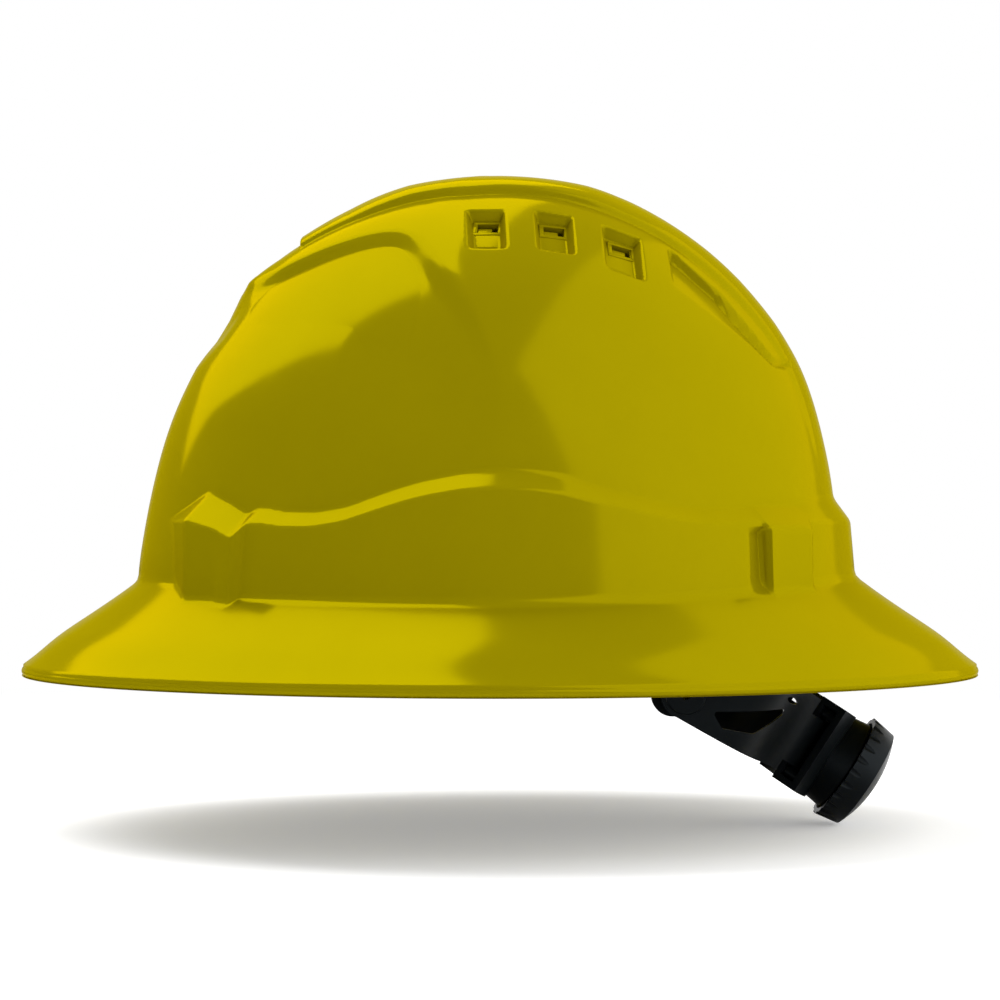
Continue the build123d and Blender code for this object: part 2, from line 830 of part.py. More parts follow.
def stakes(radius, start, end):
    """The four pins that join cover and base, as solids of one radius between two arcs."""
    rods = []
    for turn in (-stake_turn, stake_turn):
        for side in (-1, 1):
            rod = Pos(0, (start + end) / 2, rack_line + side * stake_offset) * Rot(90, 0, 0)
            rods.append(Rot(0, 0, turn) * rod * Cylinder(radius, end - start))
    return rods


housing_low = rack_line - housing_height / 2
housing_high = rack_line + housing_height / 2


def make_base():
    half = housing_half_turn
    plate = sector_block(base_inner, base_outer, -half, half, housing_low, housing_high)
    plate -= rod_u(base_inner - over, base_outer + over, journal_radius + running_clearance)
    for hole in stakes(stake_radius + running_clearance, base_inner - over, base_outer + over):
        plate -= hole
    return plate


def make_cover():
    half = housing_half_turn
    cover = sector_block(base_outer, cover_outer, -half, half, housing_low, housing_high)
    cavity_low = housing_low + cover_side_wall
    cavity_high = housing_high - cover_side_wall
    cavity = sector_block(base_outer - over, cover_inner, -half * 2, half * 2, cavity_low, cavity_high)
    collar = Pos(0, (base_outer + collar_reach) / 2, rack_line) * Rot(-90, 0, 0)
    collar = collar * Cone(collar_radius, collar_rim_radius, collar_reach - base_outer)
    cover = cover + collar - cavity
    cover -= Pos(0, 0, rack_line) * Cylinder(base_outer, housing_height + over)
    for post in stakes(stake_post_radius, base_outer, cover_inner + cover_wall / 2):
        cover += post
    for pin in stakes(stake_radius, base_inner, cover_inner):
        cover += pin
    cover -= rod_u(base_outer, collar_floor + over, shaft_radius + running_clearance)
    cover -= rod_u(collar_floor, collar_reach + over, collar_bore)
    for count in range(detent_count):
        turn = 2 * math.pi * count / detent_count
        notch = Pos(collar_bore * math.cos(turn), 0, collar_bore * math.sin(turn))
        cover -= notch * rod_u(collar_floor, collar_reach - disc_thickness, detent_radius)
    return cover


def make_pawl_disc():
    low = collar_floor + disc_gap
    plane = Plane(origin=(0, low, rack_line), x_dir=(1, 0, 0), z_dir=(0, 1, 0))
    disc = Circle(pawl_hub_radius)
    for start in (0, 180):
        arm = sector_face(pawl_arm_inner, pawl_arm_outer, 0, pawl_arm_turn)
        bridge = Pos(pawl_tip_width, (pawl_hub_radius + pawl_arm_inner) / 2) * Rectangle(
            pawl_tip_width * 2, pawl_arm_outer - pawl_hub_radius / 2
        )
        tip = Rot(0, 0, -pawl_arm_turn) * Pos(-pawl_tip_width / 2, (pawl_arm_inner + pawl_reach) / 2)
        tip = tip * Rectangle(pawl_tip_width, pawl_reach - pawl_arm_inner)
        disc += Rot(0, 0, start) * (arm + bridge + tip)
    disc -= Circle(screw_radius + screw_hole_clearance)
    return extrude(plane * disc, disc_thickness)


def make_knob():
    """A hollow domed cap with grip flutes and a hub that reaches down to the pawl disc."""
    hub_low = collar_floor + disc_gap + disc_thickness
    dome_rise = knob_dome_u - knob_outer_u
    dome_radius = (knob_outer_radius**2 + dome_rise**2) / (2 * dome_rise)
    dome_turn = math.asin(knob_outer_radius / dome_radius) / 2
    dome_centre = knob_dome_u - dome_radius
    arc_middle = (dome_radius * math.sin(dome_turn), dome_centre + dome_radius * math.cos(dome_turn))
    profile = Polyline(
        (0, hub_low), (knob_hub_radius, hub_low), (knob_hub_radius, knob_outer_u - knob_wall),
        (knob_outer_radius - knob_wall, knob_outer_u - knob_wall), (knob_radius - knob_wall, knob_inner_u),
        (knob_radius, knob_inner_u), (knob_outer_radius, knob_outer_u),
    )
    dome = ThreePointArc((knob_outer_radius, knob_outer_u), arc_middle, (0, knob_dome_u))
    axis = Line((0, knob_dome_u), (0, hub_low))
    knob = revolve(make_face([*profile.edges(), dome.edge(), axis.edge()]), Axis.Y)
    knob = Pos(0, 0, rack_line) * knob
    for count in range(flute_count):
        turn = 2 * math.pi * count / flute_count
        reach = knob_radius + flute_radius - flute_depth
        flute = Pos(reach * math.cos(turn), 0, reach * math.sin(turn))
        knob -= flute * rod_u(knob_inner_u - over, knob_dome_u + over, flute_radius)
    return knob - rod_u(hub_low - over, hub_low + screw_depth, screw_radius + screw_hole_clearance)


def make_screw():
    seat = base_inner - journal_stand
    end = collar_floor + disc_gap + disc_thickness + screw_depth - disc_gap
    return rod_u(seat - screw_head, seat, screw_head_radius) + rod_u(seat, end, screw_radius)


def make_pad():
    outer = base_inner - pad_clearance
    low = rack_line - pad_height / 2
    pad = sector_block(outer - pad_thickness, outer, -pad_half_turn, pad_half_turn, low, low + pad_height)
    pad = fillet(pad.edges(), pad_round)
    pocket_bottom = base_inner - journal_stand - screw_head - disc_gap
    return pad - rod_u(pocket_bottom, base_inner + over, pad_pocket_radius)


pieces = {
    "shell": make_shell(),
    "headband": make_headband(),
    "sweatband": make_sweatband(),
    "side_strap": make_strap(0, 0),
    "left_front_strap": make_strap(front_key_turn, 1),
    "right_front_strap": make_strap(180 - front_key_turn, 2),
    "left_pivot_button": make_button(1),
    "right_pivot_button": make_button(-1),
    "left_nape_arm": nape * make_arm(left_rack_arc, 1),
    "right_nape_arm": nape * mirror(make_arm(right_rack_arc, -1), Plane.YZ),
    "ratchet_base": nape * make_base(),
    "ratchet_cover": nape * make_cover(),
    "pinion": nape * make_pinion(),
    "pawl_disc": nape * make_pawl_disc(),
    "knob": nape * make_knob(),
    "knob_screw": nape * make_screw(),
    "nape_pad": nape * make_pad(),
}
for key_name, key_turn in key_places():
    pieces[key_name] = make_key(key_turn)

for piece_name, piece in pieces.items():
    export_step(piece, "parts/" + piece_name + ".step")
    print(piece_name, round(piece.volume), len(piece.solids()))
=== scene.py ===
import math

import bmesh
import bpy
import numpy as np
from mathutils import Matrix, Vector


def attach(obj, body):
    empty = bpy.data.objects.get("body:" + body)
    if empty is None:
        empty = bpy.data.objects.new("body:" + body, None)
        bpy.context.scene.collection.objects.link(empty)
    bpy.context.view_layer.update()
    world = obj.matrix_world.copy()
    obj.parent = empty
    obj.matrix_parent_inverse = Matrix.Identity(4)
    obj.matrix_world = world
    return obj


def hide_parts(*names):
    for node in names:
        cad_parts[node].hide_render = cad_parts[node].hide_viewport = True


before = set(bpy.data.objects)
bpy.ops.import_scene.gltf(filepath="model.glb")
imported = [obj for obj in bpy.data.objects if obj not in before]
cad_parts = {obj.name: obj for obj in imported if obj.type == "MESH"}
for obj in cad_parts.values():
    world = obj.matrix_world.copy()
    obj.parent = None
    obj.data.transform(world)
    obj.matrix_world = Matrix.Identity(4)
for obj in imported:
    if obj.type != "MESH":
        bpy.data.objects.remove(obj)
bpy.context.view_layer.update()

# Camera: the hat is seen straight from the wearer's left, with its front to the left. The camera stands about a
# metre from the middle and looks level, at the height of the raised band's top.
mm = 0.001
camera_distance, camera_height = 1014, 59
camera_data = bpy.data.cameras.new("camera")
camera_data.lens = 106.5
camera_data.sensor_width = 36.0
camera = bpy.data.objects.new("camera", camera_data)
bpy.context.collection.objects.link(camera)
camera.location = (camera_distance * mm, 0, camera_height * mm)
camera.rotation_euler = (math.radians(90), 0, math.radians(90))
bpy.context.scene.camera = camera
bpy.context.scene.view_settings.view_transform = "Standard"

# Floor: a plain pale sheet under the hat. It keeps the hat's shadow, and further out it turns to plain white, for
# the camera alone, so that it meets the backdrop without a line.
floor_level = -52 * mm
floor_size = 60
white_from, white_by = 0.3, 0.75


def fresh(name):
    """The object that an operator has just made, under its own name."""
    piece = bpy.context.object
    piece.name = name
    piece.data.name = name
    return piece


def pick(piece):
    """Selects one piece alone, for the operator that comes next."""
    bpy.ops.object.select_all(action="DESELECT")
    bpy.context.view_layer.objects.active = piece
    piece.select_set(True)


def settle(piece):
    """Puts a piece's place into its mesh, so that the object itself sits at the origin."""
    pick(piece)
    bpy.ops.object.transform_apply(location=True, rotation=True, scale=True)


def coat(piece, finish):
    """Gives a piece one finish all over."""
    piece.data.materials.clear()
    piece.data.materials.append(finish.material)


class Tap:
    """A shader socket that can be used in sums."""

    def __init__(self, finish, socket):
        self.finish = finish
        self.socket = socket

    def math(self, operation, other=None, swap=False):
        inputs = [self, other] if other is not None else [self]
        if swap:
            inputs.reverse()
        return self.finish.node("ShaderNodeMath", {"operation": operation}, inputs)

    def __add__(self, other):
        return self.math("ADD", other)

    def __radd__(self, other):
        return self.math("ADD", other)

    def __sub__(self, other):
        return self.math("SUBTRACT", other)

    def __rsub__(self, other):
        return self.math("SUBTRACT", other, swap=True)

    def __mul__(self, other):
        return self.math("MULTIPLY", other)

    def __rmul__(self, other):
        return self.math("MULTIPLY", other)


class Finish:
    """A node material under a maker's name, with one Principled shader."""

    def __init__(self, name, **constants):
        self.material = bpy.data.materials.new(name)
        self.material.use_nodes = True
        self.tree = self.material.node_tree
        self.shader = self.tree.nodes["Principled BSDF"]
        for label, value in constants.items():
            self.shader.inputs[label.replace("_", " ")].default_value = value

    def node(self, kind, settings, inputs, output=0):
        """Adds any node: its settings first, then the values or links of its sockets."""
        made = self.tree.nodes.new(kind)
        for label, value in settings.items():
            setattr(made, label, value)
        pairs = inputs.items() if isinstance(inputs, dict) else enumerate(inputs)
        for key, value in pairs:
            if isinstance(value, Tap):
                self.tree.links.new(value.socket, made.inputs[key])
            else:
                made.inputs[key].default_value = value
        return Tap(self, made.outputs[output])

    def place(self):
        """Object coordinates, in metres from the hat's origin."""
        return self.node("ShaderNodeTexCoord", {}, {}, "Object")

    def noise(self, scale, detail=2.0, place=None):
        """A cloudy pattern from 0 to 1."""
        vector = place if place is not None else self.place()
        return self.node("ShaderNodeTexNoise", {}, {"Vector": vector, "Scale": scale, "Detail": detail}, "Fac")

    def feed(self, label, tap):
        """Links a pattern to one of the shader's own sockets."""
        self.tree.links.new(tap.socket, self.shader.inputs[label])

    def bump(self, height, strength, distance):
        """A fine relief on the surface, with its depth in metres."""
        inputs = {"Height": height, "Strength": strength, "Distance": distance}
        self.feed("Normal", self.node("ShaderNodeBump", {}, inputs))

    def blend(self, factor, low, high):
        """A colour between two others."""
        return self.node("ShaderNodeMix", {"data_type": "RGBA"}, {0: factor, 6: low, 7: high}, 2)


bpy.ops.object.select_all(action="DESELECT")
bpy.ops.mesh.primitive_plane_add(size=floor_size, location=(0, 0, floor_level))
floor = fresh("floor")
settle(floor)
white_floor = Finish(
    "white_floor", Base_Color=(0.9, 0.9, 0.9, 1), Roughness=0.8, Specular_IOR_Level=0.1, Emission_Strength=1.0
)
away = white_floor.node("ShaderNodeVectorMath", {"operation": "LENGTH"}, {0: white_floor.place()}, "Value")
far = white_floor.node(
    "ShaderNodeMapRange", {"interpolation_type": "SMOOTHSTEP"}, [away, white_from, white_by, 0.0, 1.0]
)
seen = white_floor.node("ShaderNodeLightPath", {}, {}, "Is Camera Ray")
glow = white_floor.node("ShaderNodeEmission", {}, {"Color": (1, 1, 1, 1), "Strength": 1.0})
white_floor.feed("Emission Color", white_floor.blend(seen, (0, 0, 0, 1), (0.3, 0.3, 0.3, 1)))
covered = Tap(white_floor, white_floor.shader.outputs[0])
mixed = white_floor.node("ShaderNodeMixShader", {}, [far * seen, covered, glow])
white_floor.tree.links.new(mixed.socket, white_floor.tree.nodes["Material Output"].inputs["Surface"])
coat(floor, white_floor)

# Backdrop: a plain studio wall all round. It is white to the camera and in what is glossy or clear, and it lights
# everything else softly.
backdrop_light = 0.3
world = bpy.data.worlds.new("studio")
world.use_nodes = True
bpy.context.scene.world = world
tree = world.node_tree
backdrop = tree.nodes["Background"]
path = tree.nodes.new("ShaderNodeLightPath")
level = path.outputs["Is Camera Ray"]
for label in ("Is Glossy Ray", "Is Transmission Ray", None):
    strength = tree.nodes.new("ShaderNodeMath")
    strength.operation = "MAXIMUM"
    tree.links.new(level, strength.inputs[0])
    strength.inputs[1].default_value = backdrop_light
    if label:
        tree.links.new(path.outputs[label], strength.inputs[1])
    level = strength.outputs[0]
tree.links.new(level, backdrop.inputs["Strength"])
backdrop.inputs["Color"].default_value = (1, 1, 1, 1)


# Softboxes: two large rectangular studio lamps. One hangs over the front of the hat and shows as the broad bright
# fields on the crown and brim, and the other stands behind the hat and lights its rear and the knob.
def turned_to(axes):
    """The turn that takes the plain axes to three directions."""
    return Matrix([list(axis) for axis in axes]).transposed().to_4x4()


def softbox(name, place, aim, along, size, power):
    """A lamp at a place, turned towards a point, with its length along a direction."""
    lamp_data = bpy.data.lights.new(name, "AREA")
    lamp_data.shape = "RECTANGLE"
    lamp_data.size, lamp_data.size_y = size
    lamp_data.energy = power
    lamp = bpy.data.objects.new(name, lamp_data)
    bpy.context.collection.objects.link(lamp)
    back = (Vector(place) - Vector(aim)).normalized()
    across = (Vector(along) - Vector(along).dot(back) * back).normalized()
    lamp.matrix_world = Matrix.Translation(place) @ turned_to((across, back.cross(across), back))


softbox(
    "softbox_top",
    place=(-0.134, -0.69, 1.373),
    aim=(0.566, -0.626, 0.992),
    along=(-0.482, 0.215, -0.849),
    size=(2.16, 1.277),
    power=38,
)
softbox("softbox_rear", place=(0.14, 0.96, 0.69), aim=(0, 0, 0.1), along=(0.9, -0.4, 0), size=(3.1, 1.9), power=30)

# Shell: one injection moulding in glossy yellow ABS, with a crown with ridge, brow and vents, a full brim, and a
# raised band with key blocks round its foot. It is laid out as rings of points from the brim's edge to the top,
# and lengths from here on are in millimetres.
crown_front, crown_rear, crown_side = 123.4, 117.5, 104.0
crown_rise, join_height = 135.5, 30.5
shell_wall = 2.4

# The crown's sections from its foot up: height, then front, rear and side reach, as shares of the sizes above
crown_shares = [
    (-0.04, 1.0, 1.0, 1.0),
    (0.0, 1.0, 1.0, 1.0),
    (0.114, 0.986, 0.983, 0.992),
    (0.266, 0.953, 0.960, 0.962),
    (0.418, 0.903, 0.921, 0.909),
    (0.570, 0.823, 0.851, 0.827),
    (0.671, 0.754, 0.770, 0.750),
    (0.772, 0.660, 0.664, 0.649),
    (0.848, 0.555, 0.562, 0.548),
    (0.911, 0.442, 0.447, 0.437),
    (0.956, 0.328, 0.336, 0.330),
    (0.985, 0.200, 0.206, 0.204),
    (0.9975, 0.084, 0.087, 0.086),
]


def natural_spline(knots, values):
    """A smooth curve through rows of values at rising knots."""
    knots = np.asarray(knots, float)
    values = np.asarray(values, float)
    if values.ndim == 1:
        values = values[:, None]
    gaps = np.diff(knots)
    count = len(knots)
    system = np.eye(count)
    right = np.zeros_like(values)
    for row in range(1, count - 1):
        system[row, row - 1 : row + 2] = gaps[row - 1], 2 * (gaps[row - 1] + gaps[row]), gaps[row]
        steps = np.diff(values[row - 1 : row + 2], axis=0) / gaps[row - 1 : row + 1, None]
        right[row] = 6 * (steps[1] - steps[0])
    bends = np.linalg.solve(system, right)

    def curve(wanted):
        wanted = np.atleast_1d(wanted)
        left = np.clip(np.searchsorted(knots, wanted) - 1, 0, count - 2)
        gap = gaps[left][:, None]
        a = (knots[left + 1] - wanted)[:, None] / gap
        b = (wanted - knots[left])[:, None] / gap
        bend = ((a**3 - a) * bends[left] + (b**3 - b) * bends[left + 1]) * gap**2 / 6
        return a * values[left] + b * values[left + 1] + bend

    return curve


def rise(value, low, high):
    """Goes smoothly from 0 to 1 between two values."""
    part = np.clip((value - low) / (high - low), 0, 1)
    return part * part * (3 - 2 * part)


def round_max(a, b, blend):
    """The larger of two reaches, with the inner corner between them filled."""
    mix = np.maximum(blend - np.abs(a - b), 0) / blend
    return np.maximum(a, b) + mix * mix * blend / 4


def round_min(a, b, blend):
    """The smaller of two reaches, with the outer corner between them rounded."""
    mix = np.maximum(blend - np.abs(a - b), 0) / blend
    return np.minimum(a, b) - mix * mix * blend / 4


sections = np.array(
    [
        (join_height + crown_rise * up, crown_front * front, crown_rear * rear, crown_side * side)
        for up, front, rear, side in crown_shares
    ]
)
top_section = np.array([[join_height + crown_rise, 0, 0, 0]])
past_top = sections[::-1] * np.array([1, -1, -1, -1])
sections = np.vstack([sections, top_section, past_top])
lengths = np.sqrt((np.diff(sections[:, [0, 3]], axis=0) ** 2).sum(axis=1))
knots = np.concatenate([[0], np.cumsum(lengths)])
crown_curve = natural_spline(knots, sections)
top_knot = knots[len(crown_shares)]
crown_knots = np.linspace(0, top_knot, 3000)
crown_table = crown_curve(crown_knots)
side_blend = 0.35


def plan_reach(turn, side, front, rear):
    """Reach of an egg-shaped plan in a direction, with the two half ellipses blended at the sides."""
    along = np.sin(turn)
    length = front + (rear - front) * rise(along, -side_blend, side_blend)
    return 1 / np.sqrt((np.cos(turn) / side) ** 2 + (along / length) ** 2)


def crown_reach(turn, height, inset=0.0):
    """Reach of the crown in a direction at a height, or of a face set in from it."""
    front, rear, side = (np.interp(height, crown_table[:, 0], crown_table[:, k]) - inset for k in (1, 2, 3))
    return plan_reach(turn, side, front, rear)


# Brim: its half width and half length, and the height of its upper face from the crown (0) to the edge (1)
brim_side, brim_end = 138.0, 162.5
brim_curve = natural_spline(
    [-0.2, 0.0, 0.097, 0.22, 0.483, 0.729, 0.9, 1.0], [37.0, 31.6, 28.8, 25.4, 18.5, 11.7, 6.1, 3.2]
)
brim_table = np.linspace(-0.2, 1, 400)
brim_heights = brim_curve(brim_table)[:, 0]
brim_meets_crown = 36.5


def brim_reach(turn, share):
    """Reach of the brim's upper face at a share of the way from crown to edge."""
    side = crown_side + (brim_side - crown_side) * share
    length = crown_front + (brim_end - crown_front) * share
    return plan_reach(turn, side, length, length)


def brim_height(share):
    """Height of the brim's upper face at a share of the way from crown to edge."""
    return float(brim_curve(share)[0, 0])


# The band's upper outer edge: place along the hat, height, and rise of the sloping top for each mm inwards
band_edge = np.array(
    [
        (-140, 52.6, 0.95), (-101.3, 52.6, 0.95), (-94, 50.6, 0.95), (-86, 48.4, 0.95), (-82.5, 49.4, 1.0),
        (-78, 50.6, 1.05), (-69, 50.7, 1.05), (-60, 50.6, 1.05), (-50, 52.2, 1.05), (-40, 55.5, 1.05),
        (-31, 58.3, 1.05), (-24, 60.0, 1.05), (-12, 62.1, 1.03), (0, 62.7, 1.03), (10, 62.3, 1.03),
        (20, 61.0, 1.05), (31, 58.4, 1.05), (43, 55.6, 1.05), (53, 53.4, 1.05), (64, 51.7, 1.05),
        (78, 51.8, 1.0), (83, 52.4, 0.95), (87, 52.6, 0.95), (101, 52.6, 0.95), (105, 51.9, 1.5),
        (140, 52.2, 1.6),
    ]
)
edge_places = np.linspace(-140, 140, 561)
edge_heights = np.interp(edge_places, band_edge[:, 0], band_edge[:, 1])
edge_slopes = np.interp(edge_places, band_edge[:, 0], band_edge[:, 2])
soften = np.ones(9) / 9
edge_heights[4:-4] = np.convolve(edge_heights, soften, "valid")
edge_slopes[4:-4] = np.convolve(edge_slopes, soften, "valid")

# Band: reach of its upright face at its foot to the side, front and rear, and how far it leans in over its rise
band_side, band_front, band_rear = 108.6, 127.6, 121.6
band_foot, band_rise, band_draft = 26.5, 39.5, 3.4
band_gauge_height = 45.0
band_start, band_full = math.radians(-50.0), math.radians(-49.0)

# Key blocks: the direction each faces, reach of its flat face, its middle in plan, its half width, the directions
# its two walls face and their rounded corners
front_block_turn, front_block_reach = math.radians(-41.4), 118.8
front_block_middle, front_block_half = (76.4, -93.0), 10.65
front_block_walls, front_block_rounds = (math.radians(-74.3), math.radians(30.0)), (1.2, 3.0)
rear_block_turn, rear_block_reach = math.radians(45.6), 116.4
rear_block_middle, rear_block_half = (70.2, 93.6), 10.9
rear_block_walls, rear_block_rounds = (math.radians(-34.4), math.radians(108.0)), (2.0, 2.4)
front_block_fillet, rear_block_fillet = 4.5, 1.0
block_draft = 0.03

# The groove before the rear block, which goes in slowly and comes out sharply: places along the hat, and heights
groove_in, groove_out = (77.4, 84.2), (84.9, 85.9)
groove_foot, groove_top = (29.0, 31.0), (49.0, 50.4)
groove_depth = 2.3

# The band's sloping top round the front block is cut to the outline's mean over a few degrees, which rounds it
sweep_spreads = np.radians((-6, -4, -2, 0, 2, 4, 6))
sweep_start, sweep_full, sweep_end = math.radians(-52.0), math.radians(-47.0), 0.3
top_round, crown_fillet, brim_fillet = 0.8, 1.0, 2.2


def wall_reach(turn, facing, corner):
    """Reach of an upright flat wall that faces a direction and goes through a corner point."""
    away = corner[0] * math.cos(facing) + corner[1] * math.sin(facing)
    lean = np.cos(turn - facing)
    grazing, out_of_reach = 0.02, 400.0
    return np.where(lean > grazing, away / np.maximum(lean, grazing), out_of_reach)


def block_plan(turn, facing, reach, middle, half_width, front_facing, rear_facing, front_round, rear_round):
    """Reach of a key block in plan: a flat face between two walls."""
    tangent = (-math.sin(facing), math.cos(facing))
    front_corner = (middle[0] - tangent[0] * half_width, middle[1] - tangent[1] * half_width)
    rear_corner = (middle[0] + tangent[0] * half_width, middle[1] + tangent[1] * half_width)
    face = reach / np.maximum(np.cos(turn - facing), 0.2)
    plan = round_min(face, wall_reach(turn, front_facing, front_corner), front_round)
    return round_min(plan, wall_reach(turn, rear_facing, rear_corner), rear_round)


def band_reach(turn, height):
    """Reach of the band's upright face, which starts behind the front block."""
    draft = band_draft * (height - band_foot) / band_rise
    started = rise(turn, band_start, band_full)
    out_of_sight = 60
    reach = plan_reach(turn, band_side - draft, band_front - draft, band_rear - draft)
    return reach - out_of_sight * (1 - started)


def outline_plan(turn, height):
    """Reach of the band with its blocks, without its sloping top."""
    band = band_reach(turn, height)
    lean = block_draft * (height - band_foot)
    front_block = block_plan(
        turn, front_block_turn, front_block_reach - lean, front_block_middle, front_block_half,
        *front_block_walls, *front_block_rounds,
    )
    rear_block = block_plan(
        turn, rear_block_turn, rear_block_reach - lean, rear_block_middle, rear_block_half,
        *rear_block_walls, *rear_block_rounds,
    )
    plan = round_max(band, front_block, front_block_fillet)
    plan = round_max(plan, rear_block, rear_block_fillet)
    along = plan * np.sin(turn)
    groove = rise(along, *groove_in) * (1 - rise(along, *groove_out))
    groove = groove * rise(height, *groove_foot) * (1 - rise(height, *groove_top))
    return plan - groove_depth * groove


def side_reach(turn, height):
    """Outer reach of the whole lower shell at a direction and a height."""
    plan = outline_plan(turn, height)
    along = outline_plan(turn, np.full_like(turn, band_gauge_height)) * np.sin(turn)
    edge = np.interp(along, edge_places, edge_heights)
    slope = np.interp(along, edge_places, edge_slopes)
    swept = sum(outline_plan(turn + spread, height) for spread in sweep_spreads) / len(sweep_spreads)
    swept = plan + rise(turn, sweep_start, sweep_full) * (swept - plan)
    cut = np.where(turn > sweep_end, band_reach(turn, height), swept)
    topped = round_min(plan, cut - (height - edge) / slope, top_round)
    crown = crown_reach(turn, height)
    share = np.interp(-height, -brim_heights, brim_table)
    brim = np.where(height < brim_meets_crown, brim_reach(turn, share), 0)
    reach = round_max(crown, topped, crown_fillet)
    return round_max(reach, brim, brim_fillet)


def fold(turn):
    """The turn of the same place on the left half, as the two halves are alike."""
    return np.where(np.abs(turn) > math.pi / 2, np.sign(turn) * math.pi - turn, turn)


def travelled(crowding):
    """Distance gone at each step, where a crowded step counts for more."""
    return np.concatenate([[0], np.cumsum((crowding[1:] + crowding[:-1]) / 2)])


# Columns: turns round the hat from behind, closer together at the vents, blocks, grooves and front. Each crowded
# place has its middle and spread in degrees, and how much closer its columns are.
column_count = 620
crowded_places = [
    (20, 34, 0.7), (-56.2, 1.2, 4), (-45.5, 2.0, 2.2), (49.0, 2.0, 2.6), (58.8, 1.6, 3), (-90, 26, 1.2),
]
fine = np.radians(np.linspace(-180, 180, 7201))
crowding = np.ones_like(fine)
for middle, spread, amount in crowded_places:
    crowding += amount * np.exp(-(((np.degrees(fold(fine)) - middle) / spread) ** 4))
travel = travelled(crowding)
turns = np.interp(np.linspace(0, travel[-1], column_count + 1), travel, fine)
folded = fold(turns)
hands = np.where(np.abs(turns) > math.pi / 2, -1.0, 1.0)


def level_ring(height):
    """The same height for every column."""
    return np.full_like(folded, height)


# Rings, each a reach and a height for every column: the rounded edge, the brim, the band, and the crown
edge_round = 1.6
brim_foot_share = 0.255
band_low, rings_end = 32.0, 78.0
below_edge, above_edge, above_slope = 1.8, 1.4, 11.0
row_count, top_gap = 172, 0.8
vent_rows_middle, vent_rows_spread = 147, 18
rings = []
for angle in np.radians(np.linspace(-90, 50, 9)):
    reach = brim_reach(folded, 1.0) - edge_round * (1 - math.cos(angle))
    rings.append((reach, level_ring(edge_round * (1 + math.sin(angle)))))
for share in np.linspace(0.985, 0.27, 34):
    rings.append((brim_reach(folded, share), level_ring(brim_height(share))))
edge_along = outline_plan(folded, level_ring(band_gauge_height)) * np.sin(folded)
landmark = np.interp(edge_along, edge_places, edge_heights)
spans = [
    (level_ring(brim_height(brim_foot_share)), level_ring(band_low), 16),
    (level_ring(band_low), landmark - below_edge, 12),
    (landmark - below_edge, landmark + above_edge, 8),
    (landmark + above_edge, landmark + above_slope, 20),
    (landmark + above_slope, level_ring(rings_end), 9),
]
for low, high, count in spans:
    for part in np.linspace(0, 1, count, endpoint=False):
        height = low + (high - low) * part
        rings.append((side_reach(folded, height), height))
lower_ring_count = len(rings)
upper_start = np.interp(rings_end, crown_table[:, 0], crown_knots)
path_knots = np.linspace(upper_start, top_knot - top_gap, 2000)
path_heights = crown_curve(path_knots)[:, 0]
row_crowding = 1 + 1.5 * np.exp(-(((path_heights - vent_rows_middle) / vent_rows_spread) ** 6))
row_travel = travelled(row_crowding)
for knot in np.interp(np.linspace(0, row_travel[-1], row_count), row_travel, path_knots):
    height, front, rear, side = crown_curve(knot)[0]
    rings.append((plan_reach(folded, side, front, rear), level_ring(height)))


def ring_points(rings):
    """The points of rings, each given as a reach and a height for every column."""
    reaches, heights = (np.array(part) for part in zip(*rings))
    return np.stack([reaches * np.cos(folded) * hands, reaches * np.sin(folded), heights], axis=-1)


def ring_normals(points):
    """Outward normals of a closed grid of rings."""
    around = np.roll(points[:, :-1], -1, axis=1) - np.roll(points[:, :-1], 1, axis=1)
    around = np.concatenate([around, around[:, :1]], axis=1)
    up = np.gradient(points, axis=0)
    normal = np.cross(around, up)
    return normal / np.maximum(np.linalg.norm(normal, axis=-1, keepdims=True), 1e-9)


skin = ring_points(rings)
heights = skin[..., 2].copy()

# Ridge over the middle: its height and its half width along the hat
ridge_heights = [
    (-66, 2.0), (-50, 2.2), (-42, 2.7), (-30, 3.4), (0, 3.4), (29, 3.1), (39, 2.5), (54, 2.2), (64, 1.9),
    (80, 1.8), (87, 1.5), (92, 1.3), (97, 0.8), (104, 0.4), (110, 0.0),
]
ridge_half_widths = [(-66, 25.5), (-46.5, 29.7), (-15, 34.0)]


def ridge(across, along):
    """Lift of the skin on the ridge."""
    top = np.interp(along, *zip(*ridge_heights))
    half = np.interp(along, *zip(*ridge_half_widths))
    inward = half - across
    side = 0.62 * rise(inward, 0.0, 2.2) + 0.38 * np.sin(np.clip(inward / 7, 0, 1) * math.pi / 2)
    return top * side * rise(along, -66.6, -65.6)


# Brow: a front panel set in behind a soft step. Height of the step at each turn from straight ahead to the side,
# its depth there, its slant, its width, how far the panel holds its depth, and the lift of the panel's middle at
# each height.
brow_line = [
    (-113, 134.8), (-102, 131.5), (-90, 130.5), (-78, 131.5), (-67, 134.8), (-57.2, 139.6), (-46.5, 143.6),
    (-37.2, 145.0), (-31, 144.0), (-26.9, 142.0), (-22.5, 138.6), (-19.9, 135.6), (-10.3, 122.8), (-5.2, 112.8),
    (-2.5, 104.6), (2, 92), (10, 70),
]
brow_strength = [(-90, 0), (-80, 1.8), (-66, 2.9), (-30, 3.0), (-12, 2.0), (-5, 0.8), (0, 0)]
brow_slant = [(-90, 1), (-34, 1), (-24, 1.35), (-8, 1.5), (10, 1.5)]
brow_width = [(-90, 5.0), (-30, 5.0), (-18, 8.0), (10, 9.0)]
brow_hold = [(-90, 16), (-75, 22), (-50, 40), (0, 60)]
front_profile = [
    (104, 0), (109, -0.6), (113.5, -1.3), (117, -1.2), (121, -0.9), (125, 0), (128, 0.9), (131.7, 1.6),
    (134.5, 0.9), (140, 0),
]


